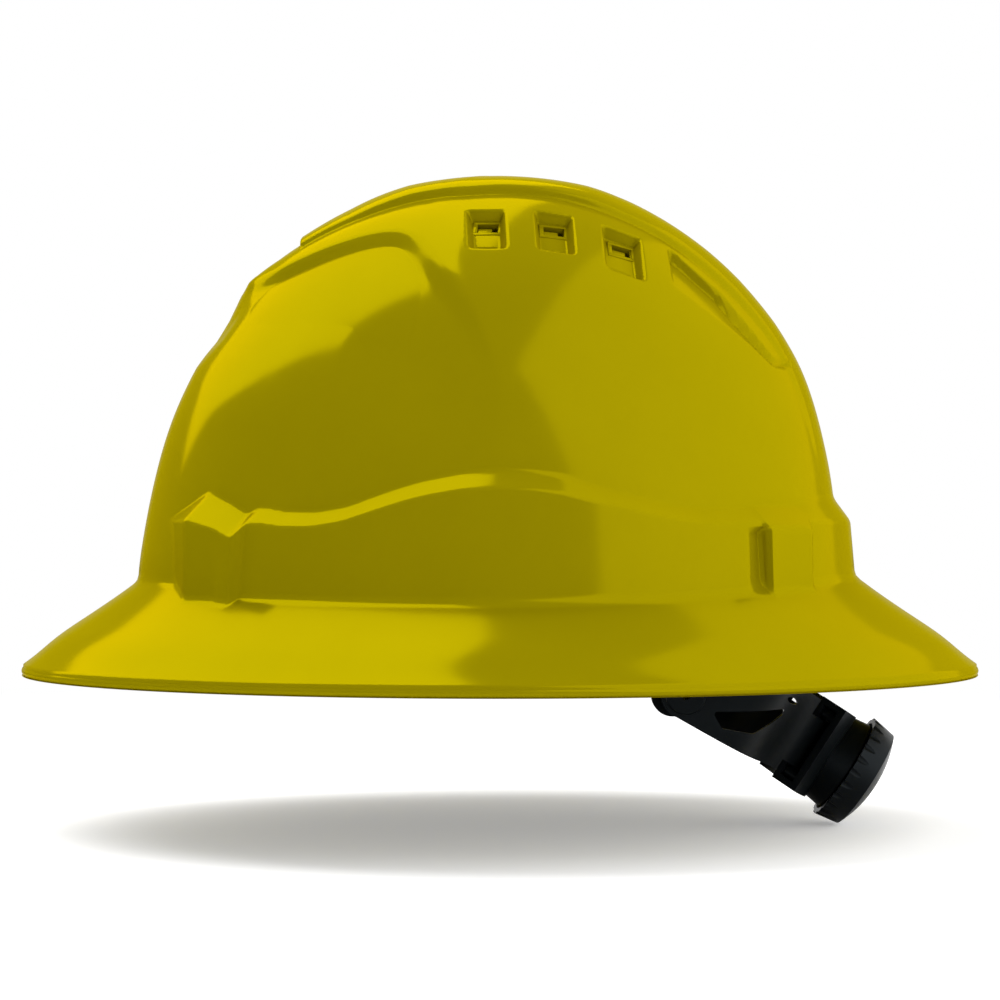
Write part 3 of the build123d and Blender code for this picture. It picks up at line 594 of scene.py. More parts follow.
def brow(turn, height):
    """Lift of the skin round the brow's step."""
    turn = np.degrees(turn)
    line = natural_spline(*zip(*brow_line))(np.clip(turn.ravel(), -90, 10)).reshape(turn.shape)
    strength = np.interp(turn, *zip(*brow_strength))
    below = (line - height) / np.interp(turn, *zip(*brow_slant))
    step = rise(below / np.interp(turn, *zip(*brow_width)), -0.5, 0.5)
    fade = 1 - rise(below / np.interp(turn, *zip(*brow_hold)), 0.25, 1.6)
    shoulder = 0.3 * np.exp(-(((below + 7.0) / 8.0) ** 2))
    middle = 1 - rise(turn, -84, -70)
    return strength * (shoulder - step * fade) + middle * np.interp(height, *zip(*front_profile))


# Vents: three pockets on each side, with a bare recessed place behind them. Each vent has its place along the hat,
# its height, the fall of its outline towards the rear, and the opening's shift to the rear.
vent_places = [(-4.4, 146.9, 0.0, 0.0), (17.9, 145.9, 0.15, 0.5), (40.3, 139.4, 0.35, 1.1)]
vent_half_width, vent_half_height, vent_depth = 6.5, 11.2, 4.2
vent_hole_lift, vent_hole_half = 6.4, (3.4, 2.4)
vent_lean, vent_nearness, vent_lowest = 0.06, 15, -20
notch_half, notch_low, notch_high, notch_share = 3.4, 10.4, 5.2, 0.12


def unit(vector):
    """A direction's unit vector."""
    return vector / np.linalg.norm(vector)


def crown_point(turn, height):
    """A point of the plain crown on the left side."""
    reach = crown_reach(np.array([turn]), np.array([height]))[0]
    return np.array([reach * math.cos(turn), reach * math.sin(turn), height])


def vent_axes(along, height):
    """Centre, backward, upward and outward directions of a vent on the left side."""
    turn = 0.0
    for _ in range(20):
        reach = crown_reach(np.array([turn]), np.array([height]))[0]
        turn = math.asin(along / reach)
    centre = crown_point(turn, height)
    back = crown_point(turn + 0.05, height) - crown_point(turn - 0.05, height)
    up = crown_point(turn, height + 5) - crown_point(turn, height - 5)
    outward = unit(np.cross(back, up))
    back = unit(np.array([-outward[1], outward[0], 0]))
    return centre, back, np.cross(outward, back), outward


vents = [(*vent_axes(along, height), fall, shift) for along, height, fall, shift in vent_places]


def vent_place(points, centre, back, up, outward, fall, shift):
    """Place of points across and up a vent's outline, which is upright in side view and falls to the rear."""
    v = points[..., 1] - centre[1] + vent_lean * (points[..., 2] - centre[2])
    w = (points[..., 2] - centre[2] + fall * v) / up[2]
    left = points.copy()
    left[..., 0] = np.abs(left[..., 0])
    close = (np.abs((left - centre) @ outward) < vent_nearness) & (w > vent_lowest)
    return v / back[1], w, close


def vent_pocket(points, grow, soft):
    """Depth share of the pockets over a grid of points."""
    total = np.zeros(points.shape[:-1])
    for vent in vents:
        v, w, close = vent_place(points, *vent)
        side = vent_half_width / vent[1][1] * 0.97 + grow
        across = rise(side - np.abs(v), -0.3, soft)
        high = rise(vent_half_height + grow - w, -0.3, soft * 0.7)
        high = high * rise(w + vent_half_height + grow, -0.3, soft * 1.6)
        notch = rise(notch_half - np.abs(v + 0.3), -0.25, 0.25)
        notch = notch * rise(w + notch_low, -0.3, 0.3) * rise(-notch_high - w, -0.3, 0.3)
        total = np.maximum(total, (across * high + notch_share * notch * (grow == 0)) * close)
    return total


def vent_hole(points, grow):
    """True inside the small opening of each pocket, grown by an amount."""
    inside = np.zeros(points.shape[:-1], bool)
    for vent in vents:
        v, w, close = vent_place(points, *vent)
        across = np.abs(v - vent[-1]) < vent_hole_half[0] + grow
        inside |= across & (np.abs(w - vent_hole_lift) < vent_hole_half[1] + grow + 0.2) & close
    return inside


# The recess behind the vents: heights of its upper and lower edges along the hat, and its depth outside and inside
recess_upper = [(56, 142), (72, 127.5), (90, 105)]
recess_lower = [(56, 128.5), (78, 112.5), (90, 103)]
recess_depth, recess_lining_depth = 3.2, 2.6


def panel_recess(points):
    """Share of the recess behind the vents: deepest along its upper edge, and rising to the skin at the lower."""
    along, height = points[..., 1], points[..., 2]
    front = rise(along, 55.4, 57.0)
    upper = np.interp(along, *zip(*recess_upper))
    lower = np.interp(along, *zip(*recess_lower))
    share = np.clip((height - lower) / np.maximum(upper - lower, 1), 0, 1)
    return front * rise(upper - height, 0.0, 1.2) * share * (np.abs(points[..., 0]) > 30)


hole_grow, lining_hole_grow = 0.7, 2.4
normals = ring_normals(skin)
turn_grid = np.broadcast_to(folded, heights.shape)
lift = ridge(np.abs(skin[..., 0]), skin[..., 1]) + brow(turn_grid, heights) * rise(heights, 60, 100)
lift -= recess_depth * panel_recess(skin)
base_skin = skin.copy()
skin = skin + normals * lift[..., None]
skin = skin - normals * (vent_depth * vent_pocket(base_skin, 0.0, 2.0))[..., None]
skin_normals = ring_normals(skin)
holes = vent_hole(base_skin, hole_grow)


def near_top(edge):
    """True for an open edge round the crown's top point."""
    corner = edge.verts[0].co
    return edge.is_boundary and corner.z > 150 * mm and math.hypot(corner.x, corner.y) < 10 * mm


def grid(name, columns, rows):
    """A flat grid under a name, whose points are then placed."""
    bpy.ops.object.select_all(action="DESELECT")
    bpy.ops.mesh.primitive_grid_add(x_subdivisions=columns - 1, y_subdivisions=rows - 1, size=1)
    return fresh(name)


def place_points(piece, points):
    """Puts a piece's points at places given in millimetres."""
    piece.data.vertices.foreach_set("co", (np.array(points) * mm).ravel())
    piece.data.update()


def points_of(piece):
    """A piece's points, in metres."""
    flat = np.zeros(len(piece.data.vertices) * 3)
    piece.data.vertices.foreach_get("co", flat)
    return flat.reshape(-1, 3)


def ring_mesh(name, points, normals, removed=None, closed_top=False, flip=False):
    """A piece of skin made of rings of points, started from a plain grid."""
    rows, columns = points.shape[:2]
    piece = grid(name, columns, rows)
    mesh = piece.data
    place_points(piece, points)
    work = bmesh.new()
    work.from_mesh(mesh)
    stored = work.verts.layers.float_vector.new("skin_normal")
    flat = normals.reshape(-1, 3)
    for vert in work.verts:
        vert[stored] = flat[vert.index]
    if removed is not None:
        gone = removed.ravel()
        doomed = [face for face in work.faces if all(gone[vert.index] for vert in face.verts)]
        bmesh.ops.delete(work, geom=doomed, context="FACES")
    bmesh.ops.remove_doubles(work, verts=work.verts, dist=1e-6)
    if closed_top:
        bmesh.ops.contextual_create(work, geom=[edge for edge in work.edges if near_top(edge)])
    if flip:
        bmesh.ops.reverse_faces(work, faces=work.faces)
    work.to_mesh(mesh)
    work.free()
    for face in mesh.polygons:
        face.use_smooth = True
    values = np.zeros(len(mesh.vertices) * 3, np.float32)
    mesh.attributes["skin_normal"].data.foreach_get("vector", values)
    mesh.normals_split_custom_set_from_vertices(values.reshape(-1, 3) * (-1 if flip else 1))
    mesh.attributes.remove(mesh.attributes["skin_normal"])
    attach(piece, "root")
    return piece


yellow_abs = Finish(
    "yellow_abs",
    Roughness=0.13,
    Metallic=0.22,
    Specular_IOR_Level=0.0,
    IOR=1.5,
    Specular_Tint=(1.0, 0.78, 0.02, 1),
)
grain = yellow_abs.noise(38.0, 3.0)
yellow_abs.feed("Base Color", yellow_abs.blend(grain, (0.260, 0.212, 0.0005, 1), (0.280, 0.228, 0.0005, 1)))
yellow_abs.bump(yellow_abs.noise(900.0, 2.0), 0.02, 0.0002)

seam_ring = lower_ring_count + 26
skirt = ring_mesh("shell_skirt", skin[: seam_ring + 1], skin_normals[: seam_ring + 1])
crown = ring_mesh("shell_crown", skin[seam_ring:], skin_normals[seam_ring:], holes[seam_ring:], closed_top=True)

# Inner face: under the brim from its edge, then up inside the crown a wall's thickness away
brim_wall = 2.7
lining_foot_share = 0.15
lining_rings = []
for share, drop in ((0.997, 3.2), (0.985, 3.4), (0.965, 3.5), (0.95, 3.0), (0.93, 2.7)):
    lining_rings.append((brim_reach(folded, share), level_ring(max(brim_height(share) - drop, 0.0))))
for share in np.linspace(0.9, lining_foot_share, 20):
    lining_rings.append((brim_reach(folded, share), level_ring(brim_height(share) - brim_wall)))
lining_foot = brim_height(lining_foot_share) - brim_wall
for height in np.linspace(lining_foot + 0.6, rings_end, 36):
    lining_rings.append((crown_reach(folded, level_ring(height), shell_wall), level_ring(height)))
lower_lining_count = len(lining_rings)
for knot in np.interp(np.linspace(0.01, row_travel[-1], 94), row_travel, path_knots):
    height, front, rear, side = crown_curve(knot)[0]
    lining_rings.append((plan_reach(folded, side, front, rear), level_ring(height)))
lining_base = ring_points(lining_rings)
lining_heights = lining_base[..., 2].copy()
inset = np.zeros(lining_heights.shape)
inset[lower_lining_count:] = shell_wall
inset = inset + vent_depth * vent_pocket(lining_base, 2.2, 1.4) * (lining_heights > 100)
inset = inset + recess_lining_depth * panel_recess(lining_base)
lining_points = lining_base - ring_normals(lining_base) * inset[..., None]
lining_holes = vent_hole(lining_base, lining_hole_grow)
lining = ring_mesh(
    "shell_lining", lining_points, ring_normals(lining_points), lining_holes, closed_top=True, flip=True
)
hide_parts("shell")
for piece in (skirt, crown, lining):
    coat(piece, yellow_abs)

# Vent frames and tabs: each pocket's small opening has a moulded frame round it, with a tab standing in its lower
# front part, which closes the straight way in for falling bits. Both are in one moulding with the shell.
frame_bar, frame_bar_depth, frame_bar_sink = 1.5, 2.2, 1.0
tab_depth, tab_forward, tab_lowering, tab_sink = 2.4, 0.95, 0.9, 1.75


def block_mesh(name, middle, axes, size, bevel, segments=3):
    """A rounded block at a place, turned to three axes: a cube shaped, bevelled and settled."""
    bpy.ops.object.select_all(action="DESELECT")
    bpy.ops.mesh.primitive_cube_add(size=1)
    piece = fresh(name)
    piece.scale = [length * mm for length in size]
    bpy.ops.object.transform_apply(location=False, rotation=False, scale=True)
    piece.matrix_world = Matrix.Translation(Vector(middle) * mm) @ turned_to(axes)
    settle(piece)
    soften_edges(piece, bevel, segments)
    return piece


def soften_edges(piece, width, segments=3, angle=35):
    """A rounded edge all over, as moulds give, applied to the mesh."""
    bevel = piece.modifiers.new("edges", "BEVEL")
    bevel.width = width * mm
    bevel.segments = segments
    bevel.angle_limit = math.radians(angle)
    bevel.harden_normals = False
    finish_modifiers(piece)


def finish_modifiers(piece):
    """Applies a piece's modifiers in their order."""
    pick(piece)
    for modifier in list(piece.modifiers):
        bpy.ops.object.modifier_apply(modifier=modifier.name)


def smooth(piece, angle=40):
    """Shades a piece smooth, apart from edges sharper than an angle."""
    pick(piece)
    bpy.ops.object.shade_smooth_by_angle(angle=math.radians(angle))


def joined(name, pieces):
    """Several meshes as one piece."""
    bpy.ops.object.select_all(action="DESELECT")
    for piece in pieces:
        piece.select_set(True)
    bpy.context.view_layer.objects.active = pieces[0]
    bpy.ops.object.join()
    return fresh(name)


vent_blocks = []
half_v, half_w = vent_hole_half
frame_bars = [
    (0, half_w + frame_bar / 2, 2 * (half_v + frame_bar), frame_bar),
    (0, -half_w - frame_bar / 2, 2 * (half_v + frame_bar), frame_bar),
    (half_v + frame_bar / 2, 0, frame_bar, 2 * half_w + 0.4),
    (-half_v - frame_bar / 2, 0, frame_bar, 2 * half_w + 0.4),
]
tab_size = (2 * half_v - 2.1, 2 * half_w - 2.0, tab_depth)
for number, (centre, back, up, outward, fall, shift) in enumerate(vents):
    slant = math.atan(fall * 1.05)
    for hand, side_name in ((1, "left"), (-1, "right")):
        side = np.array([hand, 1.0, 1.0])
        rearward = (back * math.cos(slant) - up * math.sin(slant)) * side
        upward = (up * math.cos(slant) + back * math.sin(slant)) * side
        outside = outward * side
        axes = (rearward * hand, upward, outside)
        pocket_floor = centre * side + outside * (-vent_depth + 0.1)
        middle = pocket_floor + rearward * (shift + 0.5 * fall) + upward * vent_hole_lift
        name = f"vent_{number}_{side_name}"
        for part, (v, w, wide, high) in enumerate(frame_bars):
            place = middle + axes[0] * v + upward * w - outside * frame_bar_sink
            vent_blocks.append(block_mesh(f"{name}_{part}", place, axes, (wide, high, frame_bar_depth), 0.25))
        place = middle - rearward * tab_forward - upward * tab_lowering - outside * tab_sink
        vent_blocks.append(block_mesh(f"{name}_tab", place, axes, tab_size, 0.3))
vent_frames = joined("shell_vent_frames", vent_blocks)
smooth(vent_frames)
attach(vent_frames, "root")
coat(vent_frames, yellow_abs)

# Sockets inside the shell: six open boxes moulded inside the raised band, into which the hanger keys are pushed.
# Each is an inner wall and two side walls against the shell, with a stop above the key's end.
socket_foot, socket_top, socket_wall = 27.0, 50.0, 2.2
slot_half, slot_half_width = 1.5, 12.3
side_wall_out, stop_out = 2.4, 2.0
stop_middle, stop_height = 48.0, 4.0
socket_gauge_height = 40.0
cross_along = 9.5
key_turns = {
    "left_front": -56.2, "left_side": 0.0, "left_rear": 56.2, "right_front": 236.2, "right_side": 180.0,
    "right_rear": 123.8,
}


def ray_to_plan(turn, side, front, rear, middle):
    """Distance from the straps' crossing to an egg-shaped plan, in a direction given in degrees."""
    across, along = math.cos(math.radians(turn)), math.sin(math.radians(turn))
    length = rear if along > 0 else front
    start = cross_along - middle
    a = (across / side) ** 2 + (along / length) ** 2
    b = 2 * start * along / length**2
    c = (start / length) ** 2 - 1
    return (-b + math.sqrt(b * b - 4 * a * c)) / (2 * a)


def gauge(height):
    """Front, rear and side reach of the crown, straight from its listed sections."""
    wanted = (height - join_height) / crown_rise
    table = np.array(crown_shares[1:])
    shares = [np.interp(wanted, table[:, 0], table[:, k]) for k in (1, 2, 3)]
    return crown_front * shares[0], crown_rear * shares[1], crown_side * shares[2]


def tab_reach(turn):
    """Distance from the straps' crossing to the slot for a key's end."""
    front, rear, side = gauge(socket_gauge_height)
    return ray_to_plan(turn, side - shell_wall, front - shell_wall, rear - shell_wall, 0)


def key_axes(turn):
    """Outward, sideways and upward directions of a key."""
    out = np.array([math.cos(math.radians(turn)), math.sin(math.radians(turn)), 0.0])
    side = np.array([-out[1], out[0], 0.0])
    return out, side, np.array([0.0, 0.0, 1.0])


crossing = np.array([0, cross_along, 0])
socket_middle, socket_height = (socket_foot + socket_top) / 2, socket_top - socket_foot
sockets = []
for name, turn in key_turns.items():
    out, side, up = key_axes(turn)
    inner = tab_reach(turn) - slot_half
    side_place = slot_half_width + socket_wall / 2
    inner_size = (socket_wall, 2 * (slot_half_width + socket_wall), socket_height)
    side_size = (socket_wall * 2 + side_wall_out * 2, socket_wall, socket_height)
    stop_size = (socket_wall + stop_out * 2, 2 * slot_half_width, stop_height)
    parts = (
        (inner - socket_wall / 2, 0, socket_middle, inner_size),
        (inner + side_wall_out, -side_place, socket_middle, side_size),
        (inner + side_wall_out, side_place, socket_middle, side_size),
        (inner + stop_out, 0, stop_middle, stop_size),
    )
    for part, (x, y, z, size) in enumerate(parts):
        place = crossing + out * x + side * y + up * z
        sockets.append(block_mesh(f"socket_{name}_{part}", place, (out, side, up), size, 0.6))
shell_sockets = joined("shell_sockets", sockets)

# No socket's corner may come nearer to the shell's outer face than this
corner_cover = 1.5
corners = points_of(shell_sockets) / mm
corner_turns = np.arctan2(corners[:, 1], np.abs(corners[:, 0]))
corner_reach = np.hypot(corners[:, 0], corners[:, 1])
allowed = side_reach(corner_turns, corners[:, 2]) - corner_cover
corners[:, :2] *= np.minimum(1.0, allowed / corner_reach)[:, None]
place_points(shell_sockets, corners)
smooth(shell_sockets)
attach(shell_sockets, "root")
coat(shell_sockets, yellow_abs)

# Headband, keys, arms, housing and knob: injection mouldings in black nylon and polyethylene, with the fine matt
# grain of an eroded mould, and a painted highlight that makes every convex edge paler. The screw is steel.
# Colour of the painted highlight on convex edges: a light bluish grey
painted_edge_highlight = (0.02, 0.022, 0.024, 1)
cool_sheen = (0.80, 0.92, 1.0, 1)


def moulded_black(name, base, roughness, grain_scale, edge_highlight_amount, level):
    """Black plastic with a grain, cloudy colour, and a painted highlight that makes convex edges paler by an
    amount.
    """
    made = Finish(name, Specular_IOR_Level=level, Specular_Tint=cool_sheen)
    place = made.place()
    cloud = made.noise(45.0, 3.0, place)
    speck = made.noise(grain_scale, 2.0, place)
    light = tuple(part * 1.8 + 0.0004 for part in base)
    convexity = made.node("ShaderNodeNewGeometry", {}, {}, "Pointiness")
    # Painted highlight: convex edges, found by pointiness, are painted paler towards a light bluish grey, by the
    # given amount
    edge = made.node("ShaderNodeMapRange", {}, [convexity, 0.52, 0.60, 0.0, edge_highlight_amount])
    tone = made.blend(cloud, (*base, 1), (*light, 1))
    made.feed("Base Color", made.blend(edge, tone, painted_edge_highlight))
    made.feed("Roughness", speck * 0.16 + (roughness - 0.08))
    made.bump(speck, 0.12, 0.0003)
    return made


# The fourth value of each is the strength of the painted edge highlight
nylon = moulded_black("harness_nylon", (0.0012, 0.0018, 0.0021), 0.34, 2600.0, 0.10, 0.07)
soft_band = moulded_black("headband_polyethylene", (0.0016, 0.0021, 0.0024), 0.46, 1800.0, 0.06, 0.12)
knob_nylon = moulded_black("knob_nylon", (0.0020, 0.0026, 0.0029), 0.32, 2200.0, 0.14, 0.12)
steel = Finish("screw_steel", Base_Color=(0.56, 0.57, 0.58, 1), Metallic=1.0, Specular_IOR_Level=0.5)
scratch = steel.noise(3000.0, 4.0)
steel.feed("Roughness", scratch * 0.2 + 0.22)
steel.bump(scratch, 0.08, 0.0002)
other_finishes = {"headband": soft_band, "knob": knob_nylon, "knob_screw": steel}
for name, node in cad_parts.items():
    if name != "shell":
        coat(node, other_finishes.get(name, nylon))

# Crown straps: three woven nylon straps that cross over the head in layers. Each end goes down through the slot of
# a hanger key, turns up behind its bar and is sewn to itself.
headband_side, headband_half, headband_wall, headband_middle = 79.0, 98.0, 1.8, -2.0
key_half, key_lug_half, key_clearance = 1.1, 5.0, 0.2
strap_half_width, strap_thickness = 9.0, 1.15
strap_top, strap_step, strap_spring = 118.0, 2.0, 40.0
strap_half, strap_clearance = 0.6, 0.15
strap_columns, strap_row_pitch = 13, 1.5
hook_height, hook_flatness = 29.4, 0.3
sewn_heights = (33.2, 35.6)


def band_face(turn):
    """Distance from the crossing to the headband's outer face."""
    length = headband_half + headband_wall
    return ray_to_plan(turn, headband_side + headband_wall, length, length, headband_middle)


def plate_reach(turn):
    """Distance from the crossing to the middle of a key's plate."""
    outer = band_face(turn)
    across = outer * math.cos(math.radians(turn)) / (headband_side + headband_wall) ** 2
    along = cross_along - headband_middle + outer * math.sin(math.radians(turn))
    along = along / (headband_half + headband_wall) ** 2
    slant = abs(math.atan2(along, across) - math.radians(turn)) % math.pi
    slant = min(slant, math.pi - slant)
    return outer + key_clearance + key_lug_half * math.tan(slant) + key_half


def strap_line(turn, layer):
    """The strap's middle line seen from the side: distance along its direction and height, from tail to tail."""
    top = strap_top + strap_step * layer
    line = []
    for sign, towards in ((1, turn), (-1, turn + 180)):
        reach = plate_reach(towards) - key_half - strap_clearance - strap_half
        tail = reach + strap_half + 2 * strap_clearance + 2 * key_half + strap_half
        half_arch = [
            (reach * math.cos(angle), strap_spring + (top - strap_spring) * math.sin(angle))
            for angle in np.radians(np.linspace(90, 0, 26))
        ]
        half_arch += [(reach, height) for height in (38.0, 35.0, 32.2)]
        middle = (reach + tail) / 2
        radius = (tail - reach) / 2
        fall = radius * hook_flatness
        half_arch += [
            (middle - radius * math.cos(angle), hook_height + fall - fall * math.sin(angle) * 3)
            for angle in np.radians(np.linspace(20, 160, 8))
        ]
        half_arch += [(tail, height) for height in (30.6, 32.0, 34.0, 36.9)]
        half = [(sign * x, z) for x, z in half_arch]
        line = [*line, *half[1:]] if sign < 0 else half[::-1]
    return np.array(line)


def strap_piece(name, node, turn, layer):
    """One strap along its line, and its outward and sideways directions."""
    line = strap_line(turn, layer)
    out, side = key_axes(turn)[:2]
    lengths = np.concatenate([[0], np.cumsum(np.linalg.norm(np.diff(line, axis=0), axis=1))])
    count = int(lengths[-1] / strap_row_pitch)
    even = np.linspace(0, lengths[-1], count)
    x, z = (natural_spline(lengths, line[:, k])(even)[:, 0] for k in (0, 1))
    piece = grid(name, strap_columns, count)
    mesh = piece.data
    across = np.linspace(-strap_half_width, strap_half_width, strap_columns)
    slope = np.stack([np.gradient(x), np.gradient(z)], axis=-1)
    slope /= np.linalg.norm(slope, axis=-1, keepdims=True)
    points = []
    for row in range(count):
        ripple = 0.12 * math.sin(even[row] / 6.1) + 0.08 * math.sin(even[row] / 2.7 + layer)
        crowned = 0.35 * np.cos(across / strap_half_width * math.pi / 2)
        crowned = crowned * math.sin(math.pi * row / (count - 1))
        for column in range(strap_columns):
            lift = crowned[column] + ripple * (1 - (across[column] / strap_half_width) ** 2)
            ahead = x[row] - slope[row, 1] * lift
            high = z[row] + slope[row, 0] * lift
            points.append(out * ahead + side * across[column] + np.array([0, cross_along, high]))
    place_points(piece, points)
    weave_map = mesh.uv_layers.active or mesh.uv_layers.new(name="weave")
    for loop in mesh.loops:
        row, column = divmod(loop.vertex_index, strap_columns)
        weave_map.data[loop.index].uv = (across[column] * mm, even[row] * mm)
    thick = piece.modifiers.new("cloth", "SOLIDIFY")
    thick.thickness = strap_thickness * mm
    thick.offset = 0
    edges = piece.modifiers.new("selvedge", "BEVEL")
    edges.width = 0.4 * mm
    edges.segments = 2
    edges.angle_limit = math.radians(50)
    finish_modifiers(piece)
    smooth(piece, 60)
    coat(piece, webbing)
    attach(piece, "root")
    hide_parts(node)
    return out, side


webbing = Finish(
    "woven_nylon_webbing", Roughness=0.75, Sheen_Weight=0.35, Sheen_Roughness=0.4, Specular_IOR_Level=0.3
)
weave_uv = webbing.node("ShaderNodeUVMap", {}, {}, "UV")
weave_across = webbing.node("ShaderNodeSeparateXYZ", {}, [weave_uv], "X")
weave_along = webbing.node("ShaderNodeSeparateXYZ", {}, [weave_uv], "Y")


def wave(value, pitch):
    """A sine ridge of a pitch in millimetres along a coordinate in metres."""
    return (value * (2 * math.pi / (pitch * mm))).math("SINE")


weave_pitch, rib_pitch = 1.5, 0.9
warp = wave(weave_across + weave_along * 0.5, weave_pitch)
weft = wave(weave_across - weave_along * 0.5, weave_pitch)
rib = wave(weave_along, rib_pitch)
cloth_height = warp.math("MAXIMUM", weft) * 0.6 + rib * 0.4
fuzz = webbing.noise(4000.0, 2.0)
webbing.bump(cloth_height + fuzz * 0.5, 0.55, 0.00035)
# Painted light and shade: the raised threads are painted paler and the weave's hollows darker, following the woven
# relief
painted_weave_light = webbing.node("ShaderNodeMapRange", {}, [cloth_height, -0.6, 1.0, 0.0, 1.0])
webbing.feed("Base Color", webbing.blend(painted_weave_light, (0.004, 0.0045, 0.005, 1), (0.022, 0.024, 0.027, 1)))
thread = Finish("sewing_thread", Roughness=0.6, Sheen_Weight=0.3)
twist = thread.noise(2500.0, 2.0)
thread.feed("Base Color", thread.blend(twist, (0.05, 0.052, 0.055, 1), (0.11, 0.112, 0.118, 1)))
thread.bump(twist, 0.3, 0.0002)

stitch_proud = 0.12
stitch = block_mesh("stitch", (0, 0, 0), np.eye(3), (2.0, 0.55, 0.35), 0.12, 1)


def sewn_stitch(name, place, along, normal):
    """A copy of the stitch at a place, along a direction, on a surface that faces a direction."""
    piece = stitch.copy()
    piece.data = stitch.data.copy()
    piece.name = name
    bpy.context.collection.objects.link(piece)
    axes = (along, np.cross(normal, along), normal)
    piece.data.transform(Matrix.Translation(Vector(place) * mm) @ turned_to(axes))
    return piece


def stitch_row(points, normals, name):
    """A row of short raised stitches along points, on a surface with the given normals."""
    row = []
    for index in range(len(points) - 1):
        start, end = points[index], points[index + 1]
        place = (start + end) / 2 + normals[index] * stitch_proud
        row.append(sewn_stitch(f"{name}_{index}", place, unit(end - start), normals[index]))
    return row


strap_plans = [
    ("side_webbing", "side_strap", 0.0, 0),
    ("left_front_webbing", "left_front_strap", -56.2, 1),
    ("right_front_webbing", "right_front_strap", 236.2, 2),
]
for name, node, turn, layer in strap_plans:
    out, side = strap_piece(name, node, turn, layer)
    stitches = []
    for sign, towards in ((1, turn), (-1, turn + 180)):
        out_here = out * sign
        tail = plate_reach(towards) + key_half + strap_clearance + 2 * strap_half
        for height in sewn_heights:
            middle = out_here * tail
            row = [middle + side * y + np.array([0, cross_along, height]) for y in np.arange(-7.5, 7.6, 2.5)]
            stitches += stitch_row(row, [out_here] * len(row), f"{name}_stitch_{sign}_{int(height)}")
    sewn = joined(name + "_stitching", stitches)
    coat(sewn, thread)
    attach(sewn, "root")

# Sweatband: a strip of foam-backed terry towelling on the inside of the headband's front, bound at both edges and
# held by a row of stitching. It is softly padded, fullest in the middle of its height.
sweat_end_turn = 27.0
sweat_turns = np.radians(np.linspace(-180 + sweat_end_turn, -sweat_end_turn, 97))
sweat_columns = len(sweat_turns)
sweat_low, sweat_high, sweat_height = -2.4, 24.4, 26.8
sweat_back, sweat_edge, sweat_fullness = -0.2, -0.75, 2.0
sweat_stitch_reach, sweat_stitch_heights = -2.62, (1.2, 20.8)


def oval_point(turn, grow, height):
    """A point on the oval of the headband's inside, grown by an amount."""
    across = (headband_side + grow) * math.cos(turn)
    return np.array([across, (headband_half + grow) * math.sin(turn) + headband_middle, height])


sweat_profile = []
for part in np.linspace(0, 1, 15):
    full = 1 - abs(2 * part - 1) ** 4.0
    sweat_profile.append((sweat_edge - sweat_fullness * full, sweat_low + sweat_height * part))
sweat_profile += [(sweat_back, sweat_high), (sweat_back, 11.0), (sweat_back, sweat_low)]
sweat_profile.append(sweat_profile[0])
sweatband = grid("sweatband_towelling", sweat_columns, len(sweat_profile))
points = []
for grow, height in sweat_profile:
    for number, turn in enumerate(sweat_turns):
        end = min(number, sweat_columns - 1 - number)
        ease = min(1.0, (end + 0.6) / 4.0) ** 0.5
        puff = 0.12 * math.sin(number * 1.3) * (1 if -1.5 < height < 23.5 else 0)
        points.append(oval_point(turn, sweat_back + (grow - sweat_back) * ease - puff * 0.5, height))
place_points(sweatband, points)
sheet = sweatband.data.uv_layers.active or sweatband.data.uv_layers.new(name="cloth")
for loop in sweatband.data.loops:
    row, column = divmod(loop.vertex_index, sweat_columns)
    sheet.data[loop.index].uv = (column * 2.6 * mm, row * 1.9 * mm)
work = bmesh.new()
work.from_mesh(sweatband.data)
bmesh.ops.remove_doubles(work, verts=work.verts, dist=1e-6)
bmesh.ops.contextual_create(work, geom=[edge for edge in work.edges if edge.is_boundary])
bmesh.ops.recalc_face_normals(work, faces=work.faces)
work.to_mesh(sweatband.data)
work.free()
smooth(sweatband, 60)
towel = Finish("terry_towelling", Roughness=0.95, Sheen_Weight=0.6, Sheen_Roughness=0.5, Specular_IOR_Level=0.15)
terry_loops = towel.node(
    "ShaderNodeTexVoronoi", {"feature": "SMOOTH_F1"}, {"Vector": towel.place(), "Scale": 900.0}, "Distance"
)
softness = towel.noise(260.0, 3.0)
# Painted shade: the gaps between the towelling loops are painted darker and the loop tops paler, following the
# loops' relief
towel.feed("Base Color", towel.blend(terry_loops, (0.035, 0.037, 0.040, 1), (0.010, 0.011, 0.012, 1)))
towel.bump(terry_loops * -1.0 + softness * 0.6, 0.9, 0.0009)
coat(sweatband, towel)
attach(sweatband, "root")
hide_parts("sweatband")
stitches = []
for height in sweat_stitch_heights:
    for number in range(1, sweat_columns - 1):
        turn = sweat_turns[number]
        point = oval_point(turn, sweat_stitch_reach, height)
        ahead = oval_point(turn + 0.012, sweat_stitch_reach, height)
        ahead = unit(ahead - oval_point(turn - 0.012, sweat_stitch_reach, height))
        inward = unit(np.array([-math.cos(turn) / headband_side, -math.sin(turn) / headband_half, 0]))
        stitches.append(sewn_stitch(f"sweat_stitch_{height}_{number}", point, ahead, inward))
sweat_stitching = joined("sweatband_stitching", stitches)
coat(sweat_stitching, thread)
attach(sweat_stitching, "root")
bpy.data.objects.remove(stitch)

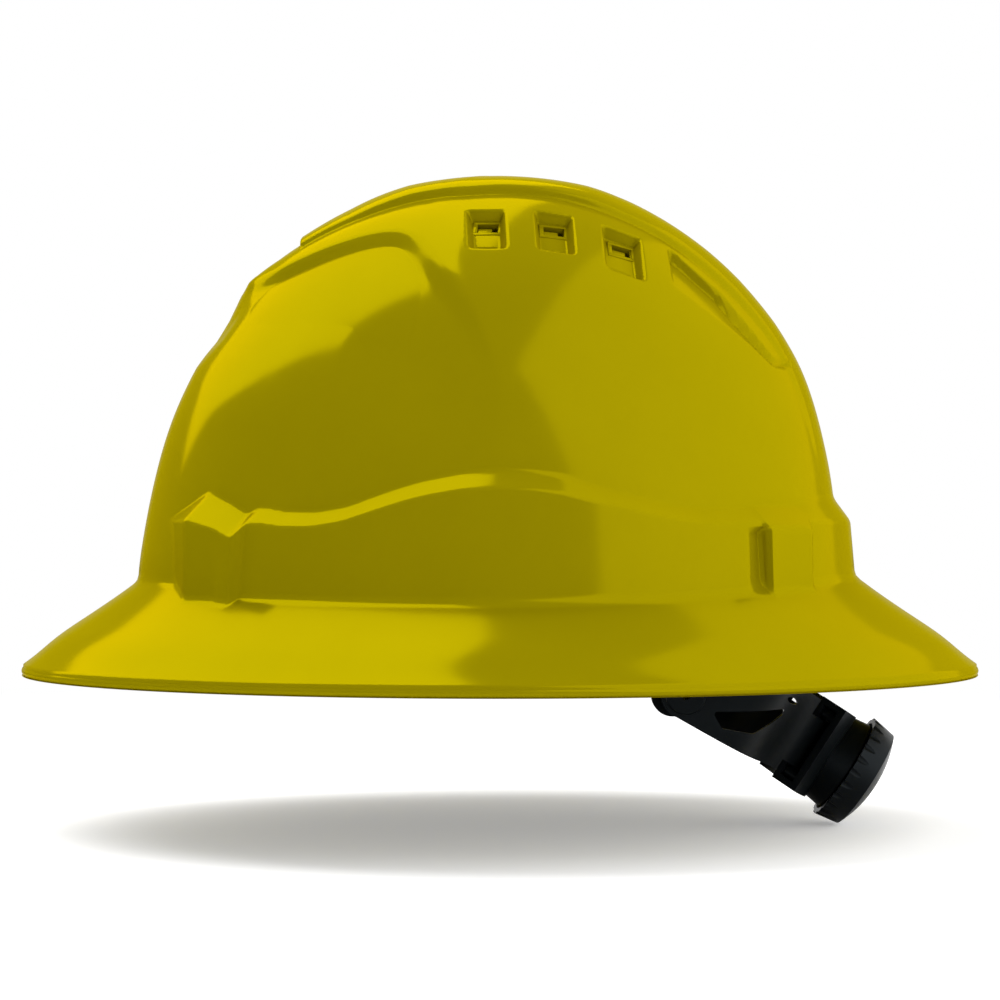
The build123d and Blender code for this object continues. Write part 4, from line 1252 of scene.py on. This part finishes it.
# Nape pad: a soft moulded foam pad clipped to the inner face of the ratchet housing. It is crowned, with rounded
# edges and two pressed channels, and has a fine open-cell skin.
nape_slope = math.radians(33.0)
nape_origin = np.array([0.0, 59.0, -3.0])
nape_u = np.array([0.0, math.cos(nape_slope), -math.sin(nape_slope)])
nape_n = np.array([0.0, math.sin(nape_slope), math.cos(nape_slope)])
rack_line, rack_arc, rack_layer_half = 7.8, 54.1, 1.1
arm_half, layer_clearance, base_wall, pad_clearance = 0.8, 0.8, 1.8, 0.1
pad_outer = rack_arc - rack_layer_half - arm_half - layer_clearance - base_wall - pad_clearance
pad_thickness, pad_half_turn, pad_height = 5.0, math.radians(25.0), 28.0
channel_depth = 0.9


def nape_point(turn, reach, height):
    """A point of the housing's arc: turn from straight back, distance from the arc's axis, height on the slope."""
    across = np.array([reach * math.sin(turn), 0, 0])
    return nape_origin + across + nape_u * reach * math.cos(turn) + nape_n * height


bpy.ops.object.select_all(action="DESELECT")
bpy.ops.mesh.primitive_cube_add(size=1)
pad = fresh("nape_pad_foam")
bpy.ops.object.mode_set(mode="EDIT")
bpy.ops.mesh.select_all(action="SELECT")
bpy.ops.mesh.subdivide(number_cuts=30)
bpy.ops.object.mode_set(mode="OBJECT")
coords = points_of(pad)
shaped = np.zeros_like(coords)
for index, (a, b, c) in enumerate(coords):
    # In the cube, a goes across the pad, b through its thickness and c up its height, each from -0.5 to 0.5
    to_side, to_rim = abs(2 * a), abs(2 * c)
    turn = pad_half_turn * 2 * a * (1 - to_rim**6 * 0.06)
    height = rack_line + pad_height * c * (1 - to_side**6 * 0.10)
    thinning = 1 - 0.55 * rise(max(to_side, to_rim), 0.72, 1.0)
    channel = channel_depth * math.exp(-(((to_rim - 0.42) / 0.06) ** 2)) * (1 - rise(to_side, 0.7, 0.85))
    thickness = pad_thickness * thinning - channel
    depth = b + 0.5
    reach = pad_outer - pad_thickness + (pad_thickness - thickness) * (1 - depth) + pad_thickness * depth
    shaped[index] = nape_point(turn, reach, height)
place_points(pad, shaped)
work = bmesh.new()
work.from_mesh(pad.data)
bmesh.ops.recalc_face_normals(work, faces=work.faces)
work.to_mesh(pad.data)
work.free()
soften_edges(pad, 0.5)
smooth(pad, 60)
foam = Finish("nape_pad_foam", Roughness=0.85, Sheen_Weight=0.3, Specular_IOR_Level=0.2)
cells = foam.node("ShaderNodeTexVoronoi", {}, {"Vector": foam.place(), "Scale": 1400.0}, "Distance")
foam.feed("Base Color", foam.blend(foam.noise(120.0, 3.0), (0.010, 0.011, 0.012, 1), (0.020, 0.021, 0.023, 1)))
foam.bump(cells, 0.5, 0.0005)
coat(pad, foam)
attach(pad, "ratchet_unit")
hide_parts("nape_pad")
